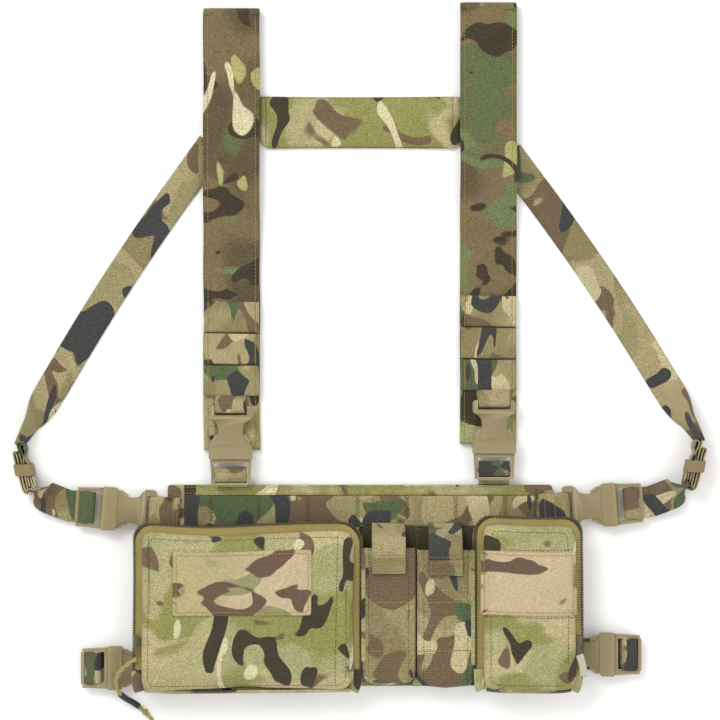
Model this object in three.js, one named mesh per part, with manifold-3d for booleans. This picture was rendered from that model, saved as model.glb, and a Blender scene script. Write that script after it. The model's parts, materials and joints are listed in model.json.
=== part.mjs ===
// Buckle-up chest rig with an H-shaped shoulder harness, laid flat on its back.
// Units are millimetres. X runs to the right, Y towards the head end and Z up, out of the front face.
// The origin is the middle of the chest panel's underside, which lies on the ground (z = 0).
import * as THREE from 'three';
import * as BufferGeometryUtils from 'three/addons/utils/BufferGeometryUtils.js';
import Module from 'manifold-3d';

const wasm = await Module();
wasm.setup();

// ---- Driving dimensions ------------------------------------------------------------------
const GAP = 0.3;                 // clearance kept between pieces that touch
const WEB = 25;                  // webbing width
const WEB_T = 1.6;               // webbing thickness

const PANEL_W = 309;             // chest panel
const PANEL_H = 161.6;
const PANEL_T = 6;
const PANEL_CORNER = 7;
const HEM_W = 8.3;               // binding along the panel's top edge
const HEM_T = 1;
const MOLLE_INSET = 13.5;        // webbing rows stop this far inside the panel's sides
const MOLLE_UPPER_Y = 59.8;      // centre lines of the two webbing rows
const MOLLE_LOWER_Y = -67;

const POUCH_BACK_Z = PANEL_T + GAP + WEB_T + GAP;   // pouches lie on the webbing rows
const POUCH_DEPTH = 19.8;        // tray depth of the two zipped pouches
const POUCH_WALL = 7.6;          // padded wall and rim that carries the zip
const POUCH_FLOOR = 2.2;
const LID_DEPTH = 11.7;
const LID_SKIN = 2.4;
const LID_CROWN = 3;             // how far the lid's face draws in from its rim
const ZIP_W = 5;                 // zip band width and thickness
const ZIP_T = 1.6;
const PATCH_T = 1.2;             // loop-fabric patch

const ADMIN_W = 180.6;           // large left pouch: full width and height, and its right edge
const ADMIN_H = 134.4;
const ADMIN_RIGHT_X = 0.6;
const ADMIN_UNDERCUT = 29;       // how far the back draws in at the outer side
const ADMIN_TOP_UNDERCUT = 13;
const ADMIN_PATCH = [111, 53];
const ADMIN_PATCH_AT = [-93.4, 4.6];

const UTILITY_W = 84.8;          // small right pouch
const UTILITY_H = 139.6;
const UTILITY_LEFT_X = 91.8;
const UTILITY_UNDERCUT = 25.6;
const UTILITY_TOP_UNDERCUT = 16.4;
const UTILITY_PATCH = [77, 52];
const UTILITY_PATCH_AT = [133.4, 4];

const POUCH_BOTTOM_Y = -83.2;    // lower edge shared by the zipped pouches
const SLIDER = [5.2, 8, 3];      // zip slider body
const SLIDER_Y = -42;            // rest place of the sliders along the zip
const PULLER = [4, 9, 1.4];

const MAG_DEPTH = 21.8;          // the two magazine pouches
const MAG_WALL = 2;
const MAGS = { left: [1.4, 44.4, -79.2, 31.2], right: [45.2, 91.2, -81.6, 29.6] };
const FLAP_W = 27;
const FLAP_ROOT_Y = 50;          // where the flaps are sewn to the panel
const FLAP_DROP = 20;            // how far each flap reaches down the pouch front

const STRAP_W = 46;              // padded shoulder straps
const STRAP_T = 6;
const STRAP_X = 103;             // distance of each strap's centre line from the middle
const STRAP_LENGTH = 355;        // folded length, from the buckle end to the top fold
const REAR_RUN_OVER_LADDER = 69; // the folded-back rear run ends this far above the ladder rows
const STRAP_OVER_BUCKLE = 6.7;   // the strap's lower end lies this far above the buckle's mouth
const LADDER_OVER_BAR = 7.7;     // ladder rows start this far above the buckle's webbing bar
const RAMP = 28;                 // length over which the front run climbs onto the rear run
const YOKE_H = 46.4;
const YOKE_BELOW_TOP = 93.7;     // from the straps' folds down to the yoke's centre line
const YOKE_T = 5;
const SIDE_STRAP_BELOW_TOP = { left: 114, right: 125.7 };
const SIDE_STRAP_BOW = 5;        // how far the side straps bow out from a straight line
const LADDER_ROWS = 3;
const LADDER_GAP = 0.5;

// Side-release buckle, along its own axis u from the webbing bar to the plug's end bar.
const BUCKLE = {
  half: WEB / 2 + 4.7, body: 5.5, length: 43, frame: 10.5, mouth: 12, neck: 9.65,
  pocketHalf: WEB / 2 + 3.1, pocketZ: 3.2, bar: 3.5, slotHalf: WEB / 2 + 0.5, frameZ: 4,
};
const PLUG = { half: WEB / 2 + 4, length: 21.4, z: 2.5, endBar: 2.7, bar: 3.5, slot: 4, frontSlot: 8.6 };
const LOOP_IN = 2.9;             // webbing loop round a buckle bar: inner radius
const SIDE_BUCKLE_Z = 8;         // height of the side buckles' mid plane
const SHOULDER_BUCKLE_Z = STRAP_T + 0.7 + BUCKLE.body;
const BUCKLE_OVER_PANEL = { left: 20.5, right: 25.2 };   // shoulder buckle mouth above the panel

// Where each buckle's socket meets its plug: x, y, z and the heading of its axis in degrees.
const BUCKLES = {
  shoulder_left: [-STRAP_X - 0.5, PANEL_H / 2 + BUCKLE_OVER_PANEL.left, SHOULDER_BUCKLE_Z, -90],
  shoulder_right: [STRAP_X + 4.4, PANEL_H / 2 + BUCKLE_OVER_PANEL.right, SHOULDER_BUCKLE_Z, -90],
  upper_left: [-PANEL_W / 2 - 52.3, 62.2, SIDE_BUCKLE_Z, 176],
  upper_right: [PANEL_W / 2 + 51.2, 65.3, SIDE_BUCKLE_Z, 4],
  lower_left: [-PANEL_W / 2 - 47.8, -66, SIDE_BUCKLE_Z, 180],
  lower_right: [PANEL_W / 2 + 49.6, -55.1, SIDE_BUCKLE_Z, 0],
};

// The folded tails of the side straps stand on edge: x, y and lean in degrees.
const BUNDLES = {
  left: [-PANEL_W / 2 - 114, 94, 14],
  right: [PANEL_W / 2 + 113.5, 97, -14],
};
const BUNDLE = [11, 40, WEB - 3];
const KEEPER = [1.3, 11];        // band wall and width

// The zip-pull cord's route from the puller to its knot.
const CORD_D = 3.6;
const CORD_ROUTE = [
  [-177.5, -56.4, 34.4], [-181.5, -58.6, 33.4], [-186.2, -62.2, 30.0], [-190.6, -66.6, 25.2],
  [-193.8, -71.4, 20.6], [-195.0, -76.6, 17.8], [-194.0, -81.8, 16.8], [-191.4, -86.8, 13.6],
  [-187.4, -90.8, 8.0], [-182.4, -94.0, 3.6], [-177.8, -97.4, 2.2], [-173.6, -101.2, 2.0],
  [-170.2, -104.6, 2.0], [-167.4, -108.0, 2.0],
];

// ---- Materials ---------------------------------------------------------------------------
const material = (color, roughness) =>
  new THREE.MeshStandardMaterial({ color, roughness, metalness: 0 });
const CAMO = material(0x8a8568, 0.95);
const CAMO_DARK = material(0x63583f, 0.95);
const WEBBING = material(0x847c5f, 0.9);
const LOOP_FABRIC = material(0xa08a66, 1.0);
const PLASTIC = material(0x9a7c55, 0.55);
const ZIP_TAPE = material(0xb59a5f, 0.85);
const METAL = material(0x6a5a40, 0.45);
const CORD = material(0x8f8458, 0.8);

const group = new THREE.Group();

function addMesh(name, geometry, mat, parent = group) {
  const mesh = new THREE.Mesh(geometry, mat);
  mesh.name = name;
  parent.add(mesh);
  return mesh;
}

// ---- Shape helpers -----------------------------------------------------------------------
function toSolid(geometry) {
  const bare = geometry.index ? geometry.toNonIndexed() : geometry.clone();
  bare.deleteAttribute('normal');
  bare.deleteAttribute('uv');
  const merged = BufferGeometryUtils.mergeVertices(bare, 1e-4);
  return new wasm.Manifold(new wasm.Mesh({
    numProp: 3,
    vertProperties: new Float32Array(merged.attributes.position.array),
    triVerts: new Uint32Array(merged.index.array),
  }));
}

function toGeometry(solid) {
  const mesh = solid.getMesh();
  const geometry = new THREE.BufferGeometry();
  geometry.setAttribute('position', new THREE.BufferAttribute(mesh.vertProperties, 3));
  geometry.setIndex(new THREE.BufferAttribute(mesh.triVerts, 1));
  return geometry;
}

function join(...geometries) {
  return toGeometry(geometries.map(toSolid).reduce((all, one) => all.add(one)));
}

function cut(geometry, ...tools) {
  return toGeometry(tools.map(toSolid).reduce((left, tool) => left.subtract(tool), toSolid(geometry)));
}

function box(x0, x1, y0, y1, z0, z1) {
  return new THREE.BoxGeometry(x1 - x0, y1 - y0, z1 - z0)
    .translate((x0 + x1) / 2, (y0 + y1) / 2, (z0 + z1) / 2);
}

function outline(points) {
  return new THREE.Shape(points.map(([x, y]) => new THREE.Vector2(x, y)));
}

function plate(shape, z0, z1, curveSegments = 6) {
  return new THREE.ExtrudeGeometry(shape, { depth: z1 - z0, bevelEnabled: false, curveSegments })
    .translate(0, 0, z0);
}

function roundedRect(x0, x1, y0, y1, r) {
  const shape = new THREE.Shape();
  shape.moveTo(x0 + r, y0);
  shape.lineTo(x1 - r, y0);
  shape.absarc(x1 - r, y0 + r, r, -Math.PI / 2, 0);
  shape.lineTo(x1, y1 - r);
  shape.absarc(x1 - r, y1 - r, r, 0, Math.PI / 2);
  shape.lineTo(x0 + r, y1);
  shape.absarc(x0 + r, y1 - r, r, Math.PI / 2, Math.PI);
  shape.lineTo(x0, y0 + r);
  shape.absarc(x0 + r, y0 + r, r, Math.PI, Math.PI * 1.5);
  return shape;
}

// Turns an outline drawn in (y, z) into a solid that spans x0 to x1.
function acrossX(points, x0, x1) {
  return new THREE.ExtrudeGeometry(outline(points), { depth: x1 - x0, bevelEnabled: false })
    .applyMatrix4(new THREE.Matrix4().makeBasis(
      new THREE.Vector3(0, 1, 0), new THREE.Vector3(0, 0, 1), new THREE.Vector3(1, 0, 0)))
    .translate(x0, 0, 0);
}

// The outline of a strip of even width along an open centre line.
function stripOutline(points, width) {
  const sides = [[], []];
  points.forEach(([x, y], i) => {
    const a = points[Math.max(i - 1, 0)];
    const b = points[Math.min(i + 1, points.length - 1)];
    const length = Math.hypot(b[0] - a[0], b[1] - a[1]);
    const nx = -(b[1] - a[1]) / length;
    const ny = (b[0] - a[0]) / length;
    sides[0].push([x + nx * width / 2, y + ny * width / 2]);
    sides[1].unshift([x - nx * width / 2, y - ny * width / 2]);
  });
  return [...sides[0], ...sides[1]];
}

// A block whose top rectangle differs from its bottom one: [x0, x1, y0, y1] each.
function frustum(bottom, top, z0, z1) {
  const geometry = box(0, 1, 0, 1, 0, 1);
  const position = geometry.attributes.position;
  for (let i = 0; i < position.count; i += 1) {
    const upper = position.getZ(i) > 0.5;
    const rect = upper ? top : bottom;
    position.setXYZ(
      i,
      position.getX(i) > 0.5 ? rect[1] : rect[0],
      position.getY(i) > 0.5 ? rect[3] : rect[2],
      upper ? z1 : z0,
    );
  }
  return geometry;
}

// Webbing looped round a bar that runs along v, with a tail drawn in the (u, z) plane.
function loopWithTail(barU, tail, width) {
  const ring = new THREE.Shape();
  ring.absarc(barU, 0, LOOP_IN + WEB_T, 0, Math.PI * 2);
  const hole = new THREE.Path();
  hole.absarc(barU, 0, LOOP_IN, 0, Math.PI * 2);
  ring.holes.push(hole);
  const turn = new THREE.Matrix4().makeBasis(
    new THREE.Vector3(1, 0, 0), new THREE.Vector3(0, 0, 1), new THREE.Vector3(0, -1, 0));
  const options = { depth: width, bevelEnabled: false, curveSegments: 12 };
  const parts = [ring, outline(stripOutline(tail, WEB_T))].map((shape) =>
    new THREE.ExtrudeGeometry(shape, options).applyMatrix4(turn).translate(0, width / 2, 0));
  return join(...parts);
}

// ---- Buckles, drawn along u with the socket's mouth at u = 0 --------------------------------
function socketGeometry() {
  const b = BUCKLE;
  const start = -b.length;
  const barEnd = start + b.bar;
  const slotEnd = barEnd + PLUG.slot;
  const body = join(
    plate(roundedRect(start, start + b.frame, -b.half, b.half, 3), -b.frameZ, b.frameZ, 3),
    box(start + b.frame - 1, -b.mouth + 1, -b.neck, b.neck, -b.frameZ, b.frameZ),
    plate(roundedRect(-b.mouth, 0, -b.half, b.half, 2.5), -b.body, b.body, 3),
  );
  return cut(
    body,
    box(barEnd, slotEnd, -b.slotHalf, b.slotHalf, -9, 9),
    box(start - 1, barEnd + 0.1, -b.slotHalf, b.slotHalf, 1.8, 9),
    box(start - 1, barEnd + 0.1, -b.slotHalf, b.slotHalf, -9, -1.8),
    box(-b.mouth - 0.5, 1, -b.pocketHalf, b.pocketHalf, -b.pocketZ, b.pocketZ),
    box(-b.mouth - 10, 1, -4.6, 4.6, -2.2, 2.2),
  );
}

function plugGeometry() {
  const p = PLUG;
  const u0 = GAP;
  const u1 = p.length;
  const barU = PLUG_BAR_U;
  const armIn = 10;
  const armOut = BUCKLE.pocketHalf - 0.4;
  const armZ = BUCKLE.pocketZ - GAP;
  const frame = plate(outline([
    [u0, -p.half], [u1 - 3, -p.half + 1], [u1, -p.half + 4],
    [u1, p.half - 4], [u1 - 3, p.half - 1], [u0, p.half],
  ]), -p.z, p.z);
  const slots = [
    box(barU - p.bar / 2 - p.frontSlot, barU - p.bar / 2, -BUCKLE.slotHalf, BUCKLE.slotHalf, -9, 9),
    box(barU + p.bar / 2, barU + p.bar / 2 + p.slot, -BUCKLE.slotHalf, BUCKLE.slotHalf, -9, 9),
    box(barU - p.bar / 2 - 0.1, barU + p.bar / 2 + 0.1, -BUCKLE.slotHalf, BUCKLE.slotHalf, 1.8, 9),
    box(barU - p.bar / 2 - 0.1, barU + p.bar / 2 + 0.1, -BUCKLE.slotHalf, BUCKLE.slotHalf, -9, -1.8),
  ];
  const arms = [-1, 1].map((side) => plate(outline([
    [u0 + 2, side * armIn], [u0 + 2, side * armOut], [-BUCKLE.mouth - 3, side * armOut],
    [-BUCKLE.mouth - 8, side * (armIn + 2.2)], [-BUCKLE.mouth - 8, side * armIn],
  ]), -armZ, armZ));
  const tongue = box(-BUCKLE.mouth - 8, u0 + 2, -4.2, 4.2, -1.8, 1.8);
  return join(cut(frame, ...slots), ...arms, tongue);
}

const PLUG_BAR_U = PLUG.length - PLUG.endBar - PLUG.slot - PLUG.bar / 2;
const SOCKET_BAR_U = -BUCKLE.length + BUCKLE.bar / 2;

// Carries a shape drawn along a buckle's axis to that buckle's place.
function atBuckle(key) {
  const [x, y, z, heading] = BUCKLES[key];
  const holder = new THREE.Group();
  holder.position.set(x, y, z);
  holder.rotation.z = THREE.MathUtils.degToRad(heading);
  group.add(holder);
  holder.updateMatrixWorld(true);
  return holder;
}

// ---- Chest panel ---------------------------------------------------------------------------
const PANEL_TOP_Y = PANEL_H / 2;
const PANEL_SIDE_X = PANEL_W / 2;

function backStrapLine() {
  const [xl, yl] = BUCKLES.lower_left;
  const [xr, yr] = BUCKLES.lower_right;
  return [[xl - PLUG_BAR_U, yl], [xr + PLUG_BAR_U, yr]];
}

function buildPanel() {
  const slab = plate(
    roundedRect(-PANEL_SIDE_X, PANEL_SIDE_X, -PANEL_TOP_Y, PANEL_TOP_Y, PANEL_CORNER), 0, PANEL_T);
  const channel = plate(
    outline(stripOutline(backStrapLine(), WEB + 4 * GAP)), -1, WEB_T + 2 * GAP);
  addMesh('chest_panel', cut(slab, channel), CAMO);
  const rowX = PANEL_SIDE_X - MOLLE_INSET;
  addMesh('panel_hem', box(
    -rowX, rowX, PANEL_TOP_Y - HEM_W, PANEL_TOP_Y, PANEL_T + GAP, PANEL_T + GAP + HEM_T), CAMO);
  const rowZ = PANEL_T + GAP;
  const halfUpper = Math.min(WEB / 2, PANEL_TOP_Y - HEM_W - GAP - MOLLE_UPPER_Y);
  addMesh('molle_row_upper', box(
    -rowX, rowX, MOLLE_UPPER_Y - WEB / 2, MOLLE_UPPER_Y + halfUpper, rowZ, rowZ + WEB_T), WEBBING);
  addMesh('molle_row_lower', box(
    -rowX, rowX, MOLLE_LOWER_Y - WEB / 2, MOLLE_LOWER_Y + WEB / 2, rowZ, rowZ + WEB_T), WEBBING);
}

// ---- Zipped pouches --------------------------------------------------------------------------
// rect is the pouch's outline at the rim, back its smaller outline where it lies on the panel.
function buildZipPouch(name, rect, back, sliderSide, patch) {
  const [x0, x1, y0, y1] = rect;
  const rimZ = POUCH_BACK_Z + POUCH_DEPTH;
  const w = POUCH_WALL;
  const inner = ([a, b, c, d]) => [a + w, b - w, c + w, d - w];
  addMesh(`${name}_tray`, cut(
    frustum(back, rect, POUCH_BACK_Z, rimZ),
    frustum(inner(back), inner(rect), POUCH_BACK_Z + POUCH_FLOOR, rimZ + 0.01),
  ), CAMO);

  const tapeZ = rimZ + GAP;
  addMesh(`${name}_zip_tape`, plate(outline([
    [x0, y0], [x0 + ZIP_W, y0], [x0 + ZIP_W, y1 - ZIP_W], [x1 - ZIP_W, y1 - ZIP_W],
    [x1 - ZIP_W, y0], [x1, y0], [x1, y1], [x0, y1],
  ]), tapeZ, tapeZ + ZIP_T), ZIP_TAPE);

  const rim = [x0 + ZIP_W + GAP, x1 - ZIP_W - GAP, y0, y1 - ZIP_W - GAP];
  const face = [rim[0] + LID_CROWN, rim[1] - LID_CROWN, y0 + LID_CROWN, rim[3] - LID_CROWN];
  const lidTop = tapeZ + LID_DEPTH;
  const s = LID_SKIN;
  const within = ([a, b, c, d]) => [a + s, b - s, c + s, d - s];
  addMesh(`${name}_lid`, cut(
    frustum(rim, face, tapeZ, lidTop),
    frustum(within(rim), within(face), tapeZ - 0.01, lidTop - s),
  ), CAMO);

  const [patchW, patchH] = patch.size;
  const [px, py] = patch.at;
  addMesh(`${name}_patch`, plate(roundedRect(
    px - patchW / 2, px + patchW / 2, py - patchH / 2, py + patchH / 2, 2,
  ), lidTop + GAP, lidTop + GAP + PATCH_T, 3), LOOP_FABRIC);

  const tapeX = sliderSide < 0 ? x0 + ZIP_W / 2 : x1 - ZIP_W / 2;
  const sliderZ = tapeZ + ZIP_T + GAP;
  const [sw, sl, sh] = SLIDER;
  addMesh(`${name}_slider`, join(
    box(tapeX - sw / 2, tapeX + sw / 2, SLIDER_Y - sl / 2, SLIDER_Y + sl / 2, sliderZ, sliderZ + sh),
    box(tapeX - 1, tapeX + 1, SLIDER_Y - 1.5, SLIDER_Y + 3, sliderZ + sh - 0.5, sliderZ + sh + 1.2),
  ), METAL);
  const [pw, pl, pt] = PULLER;
  const hingeY = SLIDER_Y - sl / 2 + 1;
  const pullerZ = sliderZ + sh + GAP;
  addMesh(`${name}_puller`, cut(
    plate(roundedRect(
      tapeX - pw / 2, tapeX + pw / 2, hingeY - pl, hingeY, 1.4), pullerZ, pullerZ + pt, 3),
    box(tapeX - 1, tapeX + 1, hingeY - pl + 1.4, hingeY - pl + 4, pullerZ - 1, pullerZ + pt + 1),
  ), METAL);
}

function buildAdminPouch() {
  const x0 = ADMIN_RIGHT_X - ADMIN_W;
  const y1 = POUCH_BOTTOM_Y + ADMIN_H;
  buildZipPouch('admin', [x0, ADMIN_RIGHT_X, POUCH_BOTTOM_Y, y1],
    [x0 + ADMIN_UNDERCUT, ADMIN_RIGHT_X, POUCH_BOTTOM_Y + 3, y1 - ADMIN_TOP_UNDERCUT],
    -1, { size: ADMIN_PATCH, at: ADMIN_PATCH_AT });
}

function buildUtilityPouch() {
  const x1 = UTILITY_LEFT_X + UTILITY_W;
  const y1 = POUCH_BOTTOM_Y + UTILITY_H;
  buildZipPouch('utility', [UTILITY_LEFT_X, x1, POUCH_BOTTOM_Y, y1],
    [UTILITY_LEFT_X, x1 - UTILITY_UNDERCUT, POUCH_BOTTOM_Y + 3, y1 - UTILITY_TOP_UNDERCUT],
    1, { size: UTILITY_PATCH, at: UTILITY_PATCH_AT });
}

function buildPullCord() {
  const curve = new THREE.CatmullRomCurve3(CORD_ROUTE.map((p) => new THREE.Vector3(...p)));
  const section = new THREE.Shape();
  for (let i = 0; i < 8; i += 1) {
    const a = (i / 8) * Math.PI * 2;
    const at = [Math.cos(a) * CORD_D / 2, Math.sin(a) * CORD_D / 2];
    if (i === 0) section.moveTo(...at);
    else section.lineTo(...at);
  }
  addMesh('admin_pull_cord', new THREE.ExtrudeGeometry(
    section, { steps: 22, extrudePath: curve, bevelEnabled: false }), CORD);
}

// ---- Magazine pouches with their flaps -----------------------------------------------------
function buildMagPouch(side) {
  const [x0, x1, y0, y1] = MAGS[side];
  const z0 = POUCH_BACK_Z;
  const z1 = z0 + MAG_DEPTH;
  const w = MAG_WALL;
  addMesh(`mag_pouch_${side}`, cut(
    box(x0, x1, y0, y1, z0, z1),
    box(x0 + w, x1 - w, y0 + w, y1 + 1, z0 + w, z1 - w),
  ), CAMO);
  const mid = (x0 + x1) / 2;
  const top = z1 + GAP + WEB_T / 2;
  const flap = stripOutline([
    [FLAP_ROOT_Y, z0 + 0.6], [FLAP_ROOT_Y - 5, z0 + 6], [y1 + 6, top - 1.6],
    [y1 + 1.5, top], [y1 - FLAP_DROP, top],
  ], WEB_T);
  addMesh(`mag_flap_${side}`, acrossX(flap, mid - FLAP_W / 2, mid + FLAP_W / 2), WEBBING);
}

// ---- Harness ---------------------------------------------------------------------------------
function ladderBottom(side) {
  return BUCKLES[`shoulder_${side}`][1] + BUCKLE.length + LADDER_OVER_BAR;
}

function strapTop(side) {
  return BUCKLES[`shoulder_${side}`][1] + STRAP_OVER_BUCKLE + STRAP_LENGTH;
}

function buildShoulderStrap(side) {
  const mid = side === 'left' ? -STRAP_X : STRAP_X;
  const t = STRAP_T;
  const upper = t + 0.5;
  const top = strapTop(side);
  const bottom = top - STRAP_LENGTH;
  const rear = ladderBottom(side) + LADDER_ROWS * (WEB + LADDER_GAP) + REAR_RUN_OVER_LADDER;
  const fold = top - t;
  addMesh(`shoulder_strap_${side}`, acrossX([
    [rear, 0], [top, 0], [top, upper + t], [rear + 3, upper + t],
    [rear + 3 - RAMP, t], [bottom, t], [bottom, 0],
    [rear - 1 - RAMP, 0], [rear - 1, upper], [fold, upper], [fold, t], [rear, t],
  ], mid - STRAP_W / 2, mid + STRAP_W / 2), CAMO_DARK);
  for (let row = 0; row < LADDER_ROWS; row += 1) {
    const y0 = ladderBottom(side) + (LADDER_ROWS - 1 - row) * (WEB + LADDER_GAP);
    addMesh(`strap_ladder_${side}_${row + 1}`, box(
      mid - STRAP_W / 2 + 0.5, mid + STRAP_W / 2 - 0.5, y0, y0 + WEB, t + GAP, t + GAP + WEB_T),
    WEBBING);
  }
}

function buildYoke() {
  const half = STRAP_X - STRAP_W / 2 - GAP;
  const y = (strapTop('left') + strapTop('right')) / 2 - YOKE_BELOW_TOP;
  addMesh('back_yoke', box(-half, half, y - YOKE_H / 2, y + YOKE_H / 2, 0, YOKE_T), CAMO);
}

// The side strap's centre line, from under the shoulder strap's edge to the folded tail.
function sideRoute(side, edge) {
  const sign = Math.sign(edge);
  const [bx, by] = BUNDLES[side];
  const start = [edge - sign * 4.3, strapTop(side) - SIDE_STRAP_BELOW_TOP[side]];
  const end = [bx + sign * 3, by + BUNDLE[1] / 2 + 6];
  const dx = end[0] - start[0];
  const dy = end[1] - start[1];
  const length = Math.hypot(dx, dy);
  return [0, 0.25, 0.5, 0.75, 1].map((t) => {
    const out = (SIDE_STRAP_BOW * 4 * t * (1 - t)) / length;
    return [start[0] + dx * t + sign * Math.abs(dy) * out, start[1] + dy * t + Math.abs(dx) * out];
  });
}

function buildSideStrap(side) {
  const sign = side === 'left' ? -1 : 1;
  const edge = sign * (STRAP_X + STRAP_W / 2 + GAP);
  const strip = plate(outline(stripOutline(sideRoute(side, edge), WEB)), 0, WEB_T);
  const trim = sign < 0 ? box(edge, edge + 80, 0, 600, -1, 9) : box(edge - 80, edge, 0, 600, -1, 9);
  const [bx, by, lean] = BUNDLES[side];
  addMesh(`side_strap_${side}`, cut(
    strip, trim, bundleBlock(bx, by, lean, GAP), keeperBlock(bx, by, lean, GAP)), WEBBING);
}

// A block round a folded tail, grown by a margin on every side.
function bundleBlock(x, y, lean, margin) {
  const [w, l, h] = BUNDLE;
  const lift = KEEPER[0] + GAP;
  return box(-w / 2 - margin, w / 2 + margin, -l / 2 - margin, l / 2 + margin,
    lift - margin, lift + h + margin)
    .rotateZ(THREE.MathUtils.degToRad(lean)).translate(x, y, 0);
}

// The outer block of the elastic band round a folded tail.
function keeperBlock(x, y, lean, margin) {
  const [w, , h] = BUNDLE;
  const [wall, band] = KEEPER;
  const half = w / 2 + GAP + wall + margin;
  return box(-half, half, -band / 2 - margin, band / 2 + margin,
    -margin, h + 2 * wall + 2 * GAP + margin)
    .rotateZ(THREE.MathUtils.degToRad(lean)).translate(x, y, 0);
}

function buildBundle(side) {
  const [x, y, lean] = BUNDLES[side];
  addMesh(`strap_tail_${side}`, bundleBlock(x, y, lean, 0), WEBBING);
  addMesh(`tail_keeper_${side}`, cut(
    keeperBlock(x, y, lean, 0), bundleBlock(x, y, lean, GAP),
  ), LOOP_FABRIC);
}

// ---- Buckled joints --------------------------------------------------------------------------
function buildBuckle(key, socketName, plugName) {
  const holder = atBuckle(key);
  addMesh(socketName, socketGeometry(), PLASTIC, holder);
  addMesh(plugName, plugGeometry(), PLASTIC, holder);
  return holder;
}

function buildShoulderBuckle(side) {
  const key = `shoulder_${side}`;
  const [, y, z] = BUCKLES[key];
  const holder = buildBuckle(key, `shoulder_socket_${side}`, `shoulder_plug_${side}`);
  const ringZ = LOOP_IN + WEB_T / 2;
  const padZ = STRAP_T + GAP + WEB_T / 2 - z;
  const ladderEnd = ladderBottom(side) - GAP;
  addMesh(`shoulder_tab_${side}`, loopWithTail(SOCKET_BAR_U, [
    [SOCKET_BAR_U, -ringZ], [SOCKET_BAR_U - 3, -ringZ], [SOCKET_BAR_U - 6, padZ],
    [y - ladderEnd, padZ],
  ], WEB), WEBBING, holder);
  const edge = y - PANEL_TOP_Y - GAP;
  addMesh(`riser_${side}`, loopWithTail(PLUG_BAR_U, [
    [PLUG_BAR_U, -ringZ], [PLUG_BAR_U + 2, -ringZ - 0.4], [edge - 2, 2.6 - z], [edge - 0.3, 2 - z],
  ], WEB), WEBBING, holder);
}

function buildSideBuckle(row, side) {
  const key = `${row}_${side}`;
  const [x, , z] = BUCKLES[key];
  const holder = buildBuckle(key, `side_socket_${key}`, `side_plug_${key}`);
  const ringZ = LOOP_IN + WEB_T / 2;
  const panelEdge = -(Math.abs(x) - PANEL_SIDE_X);
  const padZ = PANEL_T + GAP + WEB_T / 2 - z;
  addMesh(`side_tab_${key}`, loopWithTail(SOCKET_BAR_U, [
    [SOCKET_BAR_U, ringZ], [SOCKET_BAR_U - 0.6, ringZ], [panelEdge - 0.5, padZ],
    [panelEdge - MOLLE_INSET + 1.5, padZ],
  ], WEB), WEBBING, holder);
  return holder;
}

function localPoint(holder, [x, y]) {
  const p = holder.worldToLocal(new THREE.Vector3(x, y, 0));
  return [p.x, p.y];
}

// The short strap from a folded tail to the upper plug's bar.
function buildConnector(side, holder) {
  const [bx, by, lean] = BUNDLES[side];
  const low = -LOOP_IN - WEB_T;
  const end = localPoint(holder, [bx, by - BUNDLE[1] / 2 + 8]);
  const strip = plate(
    outline(stripOutline([[PLUG_BAR_U, 0], [PLUG.length + 4, 0], end], WEB - 3)), low, low + WEB_T);
  const toBuckle = holder.matrixWorld.clone().invert();
  const reach = join(bundleBlock(bx, by, lean, GAP), keeperBlock(bx, by, lean, GAP))
    .applyMatrix4(toBuckle);
  const loop = loopWithTail(PLUG_BAR_U, [
    [PLUG_BAR_U, low + WEB_T / 2], [PLUG.length + 3, low + WEB_T / 2]], WEB);
  const trimmed = toSolid(join(loop, strip)).subtract(toSolid(reach));
  const pieces = trimmed.decompose().sort((a, b) => b.volume() - a.volume());
  addMesh(`side_connector_${side}`, toGeometry(pieces[0]), WEBBING, holder);
}

function buildBackStrap(holders) {
  const strip = plate(outline(stripOutline(backStrapLine(), WEB)), 0, WEB_T);
  const low = -LOOP_IN - WEB_T;
  const ends = holders.map((holder) => join(
    loopWithTail(PLUG_BAR_U, [[PLUG_BAR_U - 2, low + 0.8], [PLUG_BAR_U + 2, low + 0.8]], WEB),
    box(PLUG_BAR_U - 2, PLUG_BAR_U + 2, -WEB / 2, WEB / 2, -SIDE_BUCKLE_Z, low + 1),
  ).applyMatrix4(holder.matrixWorld));
  addMesh('back_strap', join(strip, ...ends), WEBBING);
}

// ---- The whole rig -----------------------------------------------------------------------------
buildPanel();
buildAdminPouch();
buildUtilityPouch();
buildPullCord();
buildYoke();
for (const side of ['left', 'right']) {
  buildMagPouch(side);
  buildShoulderStrap(side);
  buildSideStrap(side);
  buildBundle(side);
  buildShoulderBuckle(side);
  buildConnector(side, buildSideBuckle('upper', side));
}
buildBackStrap(['left', 'right'].map((side) => buildSideBuckle('lower', side)));

export default group;
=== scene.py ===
"""Looks of the chest rig: fabric, webbing, buckles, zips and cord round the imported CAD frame.

Everything is in metres in the frame's own axes: X right, Y towards the head end, Z up.
"""
import json
import math

import bmesh
import bpy
import numpy as np
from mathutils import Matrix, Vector, noise
from mathutils.bvhtree import BVHTree

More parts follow.
